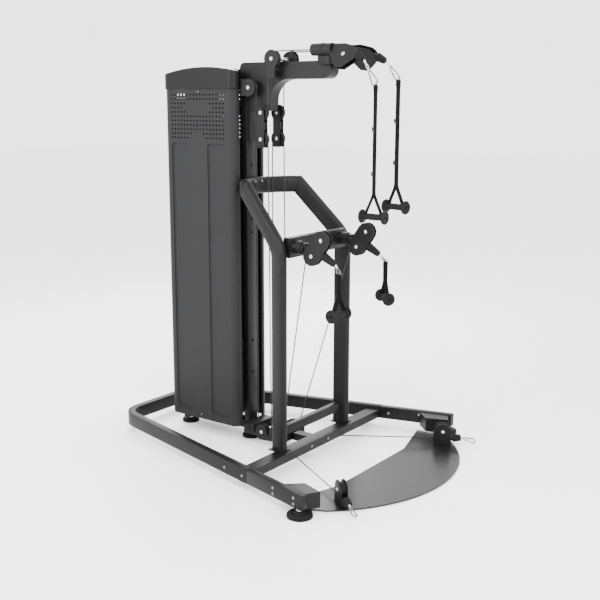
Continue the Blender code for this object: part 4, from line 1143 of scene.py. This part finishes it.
def seams(middle, along, across, top, fork, wide):
    """Box seams at the strap's two ends and a row of stitches along each edge, on both faces."""
    pitch, edge_pitch = 0.0035, 0.006
    places = []

    def sew(z, rows, offset):
        for row in rows:
            for sign in (-1, 1):
                places.append((Vector((middle.x, middle.y, z)) + across * row + along * sign * offset, along * sign))

    for z in [top - 0.010 - pitch * i for i in range(6)] + [fork + 0.008 + pitch * i for i in range(7)]:
        sew(z, (-0.008, -0.004, 0.0, 0.004, 0.008), 0.0048 if z > fork + 0.05 else 0.0034)
    count = int((top - fork) / edge_pitch)
    for i in range(count):
        sew(fork + 0.004 + i * (top - fork - 0.008) / count, (0.003 - wide / 2, wide / 2 - 0.003), 0.0031)
    obj = points_mesh("seams", places)
    grow(obj, FASTENERS, {"Fastener": STITCH, "Size": 0.0007, "Finish": THREAD})
    soften(obj.data, 80)
    return obj


def webbing(kind, middle, along, across, start):
    """Two layers sewn together down to the fork, a leg to each end of the grip, and the fold round the top ring."""
    wide = STRAP_WIDE[kind]
    split = middle + up(FORK[kind])
    layers = [strip("strap_upper", [start, *straight(start, split + up(0.004), 24), split], wide, 0.0060, across)]
    for sign in (-1, 1):
        out = along * sign
        route = [split + up(0.035) + out * 0.0014, split + up(0.006) + out * 0.0016, split + out * 0.010 - up(0.022),
                 middle + out * 0.040 + up(0.034), middle + out * 0.0475 + up(0.012),
                 middle + out * 0.0480 - up(0.004)]
        layers.append(strip("strap_leg", smooth_route(route, 6), wide - 0.003, 0.0030, across))
    fold = [start - up(0.030) + along * 0.0036, start + along * 0.0042, start + up(0.006), start - along * 0.0042,
            start - up(0.030) - along * 0.0036]
    layers.append(strip("strap_fold", smooth_route(fold, 6), wide - 0.001, 0.0024, across))
    layers.append(seams(middle, along, across, start.z, split.z, wide))
    return layers


def d_ring(place, along, across):
    """A ring on the strap's edge and the short piece of webbing that keeps it."""
    half = 0.011
    loop = [place + up(v) - across * u for u, v in [(0.0, -half), (0.0, half)] + arc((0.003, 0), half, 80, -80, 8)]
    keeper = [place + up(v) + along * 0.003 for v in (-0.012, 0.0, 0.012)]
    return [sweep("d_ring", smooth_closed(loop), circle_section(0.0016, 8), along, CHROME, closed=True),
            strip("keeper", keeper, 0.020, 0.0012, across)]


def strap(kind, side):
    """The strap with its rings, and the spring hook that it hangs on."""
    node, grip_node = "%s_strap_%s" % (kind, side), "%s_grip_%s" % (kind, side)
    body, middle = BODY_OF[node], middle_of(grip_node)
    along, across = grip_axes(grip_node)
    hook_low = Vector((middle.x, middle.y, HOOK_TOP[grip_node]))
    layers = webbing(kind, middle, along, across, hook_low - up(0.004))
    finish(join(node + "_webbing", layers), body, [node])

    fittings = [ring(hook_low + up(0.003), 0.0125, 0.0022, along)]
    for z in D_RINGS.get(node, ()):
        fittings += d_ring(Vector((middle.x, middle.y, z)) - across * STRAP_WIDE[kind] / 2, along, across)
    finish(join(node + "_rings", fittings), body)
    pivot = joint_place("%s_handle_swing_%s" % (kind, side))
    hook_set("%s_spring_hook_%s" % (kind, side), body, pivot, hook_low + up(0.004), along)


def grip(node):
    """A ribbed rubber tube between two dished end discs, on a steel tube whose bore shows at each end."""
    half, ribs = 0.0755, 26
    disc = [(0.0065, 0.012), (0.0070, 0.0015), (0.012, 0.001), (0.015, 0.0035), (0.026, 0.0035), (0.029, 0.0),
            (0.0345, 0.0002), (0.0373, 0.0035), (0.0373, 0.0075), (0.0345, 0.0125), (0.022, 0.0155), (0.0172, 0.019)]
    profile = [(r, h - half) for r, h in disc]
    step = (2 * half - 0.042) / ribs
    for i in range(ribs):
        start = -half + 0.021 + step * i
        swell = 0.0160 + 0.0012 * cos(pi * (start + step / 2) / (2 * half))
        profile += [(swell, start), (swell + 0.0006, start + step * 0.3), (swell + 0.0006, start + step * 0.6),
                    (swell, start + step * 0.85)]
    profile += [(r, half - h) for r, h in reversed(disc)]
    along = grip_axes(node)[0]
    obj = lathe(node + "_moulded", profile, middle_of(node), along, GRIP_RUBBER, 36, 40)
    finish(obj, BODY_OF[node], [node])


def handles():
    for side, s in SIDES:
        strap("top", side)
        strap("mid", side)
        grip("top_grip_" + side)
        grip("mid_grip_" + side)


def stops():
    """The rubber stop in front of each head and low pulley, and the hooks on the low cables."""
    wide, narrow = 0.0245, 0.0165
    for side, s in SIDES:
        swivel = joint_place("top_head_swivel_" + side)
        leave, outward = leaving(Vector((swivel.x, TOP_PULLEY_Y, swivel.z - PITCH)), TOP_EXIT)
        base, tip = (swivelled(side, s, leave + outward * reach) for reach in (0.0675, 0.1235))
        ball_stop("top_stop_" + side, "top_head_" + side, base, tip - base, (tip - base).length, wide, narrow)
        leave, outward = leaving(joint_place("mid_lower_spin_" + side), MID_EXIT)
        ball_stop("mid_stop_" + side, "mid_head_" + side, leave + outward * 0.0615, outward, 0.082, wide, narrow)
        forward = Vector((s * sin(LOW_TURN), -cos(LOW_TURN), 0))
        leave = joint_place("low_pulley_spin_" + side) - up(PITCH)
        ball_stop("low_stop_" + side, "frame", leave + forward * 0.0635, forward, 0.050, 0.0255, 0.0185)
        tip = leave + forward * 0.1125
        hook_set("low_spring_hook_" + side, "frame", tip, tip + forward * 0.088 - up(0.022),
                 (s * cos(LOW_TURN), sin(LOW_TURN), 0.5))


# ---------------------------------------------------------------- bolts on the frame
OUTER_BOLTS = ((-0.049, 0.080), (-0.205, 0.080), (-0.464, 0.098), (-0.464, 0.066), (-0.626, 0.098), (-0.626, 0.066))
INNER_BOLTS = ((-0.300, 0.085), (-0.495, 0.100), (-0.655, 0.100))     # (y, z) on the legs' inner faces


def frame_bolts():
    for side, s in SIDES:
        places = [leg_face(side, y, z, True) for y, z in OUTER_BOLTS]
        places += [leg_face(side, y, z, False) for y, z in INNER_BOLTS]
        fasteners("leg_bolts_" + side, "frame", places, 0.012, finish_as=DULL_ZINC)
    splice = [((x, -0.245, 0.080), (0, -1, 0)) for x in (-0.101, 0.066)]
    fasteners("splice_bolts", "frame", splice, 0.012, finish_as=DULL_ZINC)
    arch = [((x, 0.2168, 1.585), (0, -1, 0)) for x in (-0.030, 0.030)]
    fasteners("arch_bolts", "frame", arch, 0.014, finish_as=DULL_ZINC)


def post_plates():
    """The flange that each post stands on."""
    thick, margin = 0.005, 0.012
    for side, s in SIDES:
        vertices = [v.co for v in frame["nodes"]["post_" + side].data.vertices]
        bottom = min(p.z for p in vertices)
        lowest = [p for p in vertices if p.z < bottom + 0.004]
        x0, x1 = min(p.x for p in lowest) - margin, max(p.x for p in lowest) + margin
        y0, y1 = min(p.y for p in lowest) - 0.001, max(p.y for p in lowest) + 0.001
        finish(sheet_from_outlines("post_flange_" + side, [rounded_outline(x0, x1, y0, y1, 0.004)], thick, TUBE_PAINT,
                                   Matrix.Translation((0, 0, bottom + 0.0026))), "frame")


def feet():
    """Moulded feet with ribbed rims, and the lock nut between each foot and its tube."""
    wider = 1.12             # than the CAD foot
    for node in ("foot_front_left", "foot_front_right", "foot_column_front", "foot_column_rear"):
        low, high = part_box(node)
        x, y, top = (low.x + high.x) / 2, (low.y + high.y) / 2, high.z
        r = (high.x - low.x) / 2 * wider
        profile = [(r - 0.003, 0.0), (r, 0.002), (r, 0.010), (r - 0.0022, 0.0112), (r - 0.0022, 0.0132), (r, 0.0144),
                   (r, 0.0175), (r - 0.003, 0.0205), (r * 0.62, 0.0235), (r * 0.46, 0.0245), (r * 0.40, top - 0.012),
                   (r * 0.40, top - 0.0125)]
        profile = [point for point in profile if point[1] < top - 0.0005] + [(0.012, top - 0.011), (0.012, top)]
        obj = lathe(node + "_moulded", profile, (x, y, low.z), (0, 0, 1), RUBBER, 40)
        finish(obj, BODY_OF[node], [node])
        fasteners(node + "_nut", "frame", [((x, y, top - 0.011), (0, 0, 1))], 0.034, NUT)


def swivel_collars():
    """Bearing collars, grooved in the middle, on the swivel heads."""
    high = [(0.0335, 0.0), (0.0345, 0.0015), (0.0345, 0.008), (0.0338, 0.0095), (0.0345, 0.011), (0.0345, 0.018),
            (0.0335, 0.0195)]
    chest = [(0.0365, 0.0), (0.0385, 0.002), (0.0385, 0.010), (0.0368, 0.012), (0.0368, 0.018), (0.0385, 0.020),
             (0.0385, 0.030), (0.0365, 0.032)]
    for side, s in SIDES:
        top, mid = joint_place("top_head_swivel_" + side), joint_place("mid_head_swivel_" + side)
        for name, profile, base, paint, slot in (
                ("top_collar_", high, (top.x, -0.300, top.z), TUBE_PAINT, "tube_paint"),
                ("mid_collar_", chest, (mid.x, mid.y + 0.002, mid.z), NYLON, "moulded_nylon")):
            finish(lathe(name + side, profile, base, (0, 1, 0), paint, 40), "frame")


studio()
paint_nodes()
for node, width in DRESSED.items():
    dress(node, width)
pulleys()
axle_bolts()
low_stations()
tower()
weights()
cables()
handles()
stops()
frame_bolts()
post_plates()
feet()
swivel_collars()
for pattern in (BUTTON_HEAD, NUT, STITCH):
    bpy.data.objects.remove(pattern)
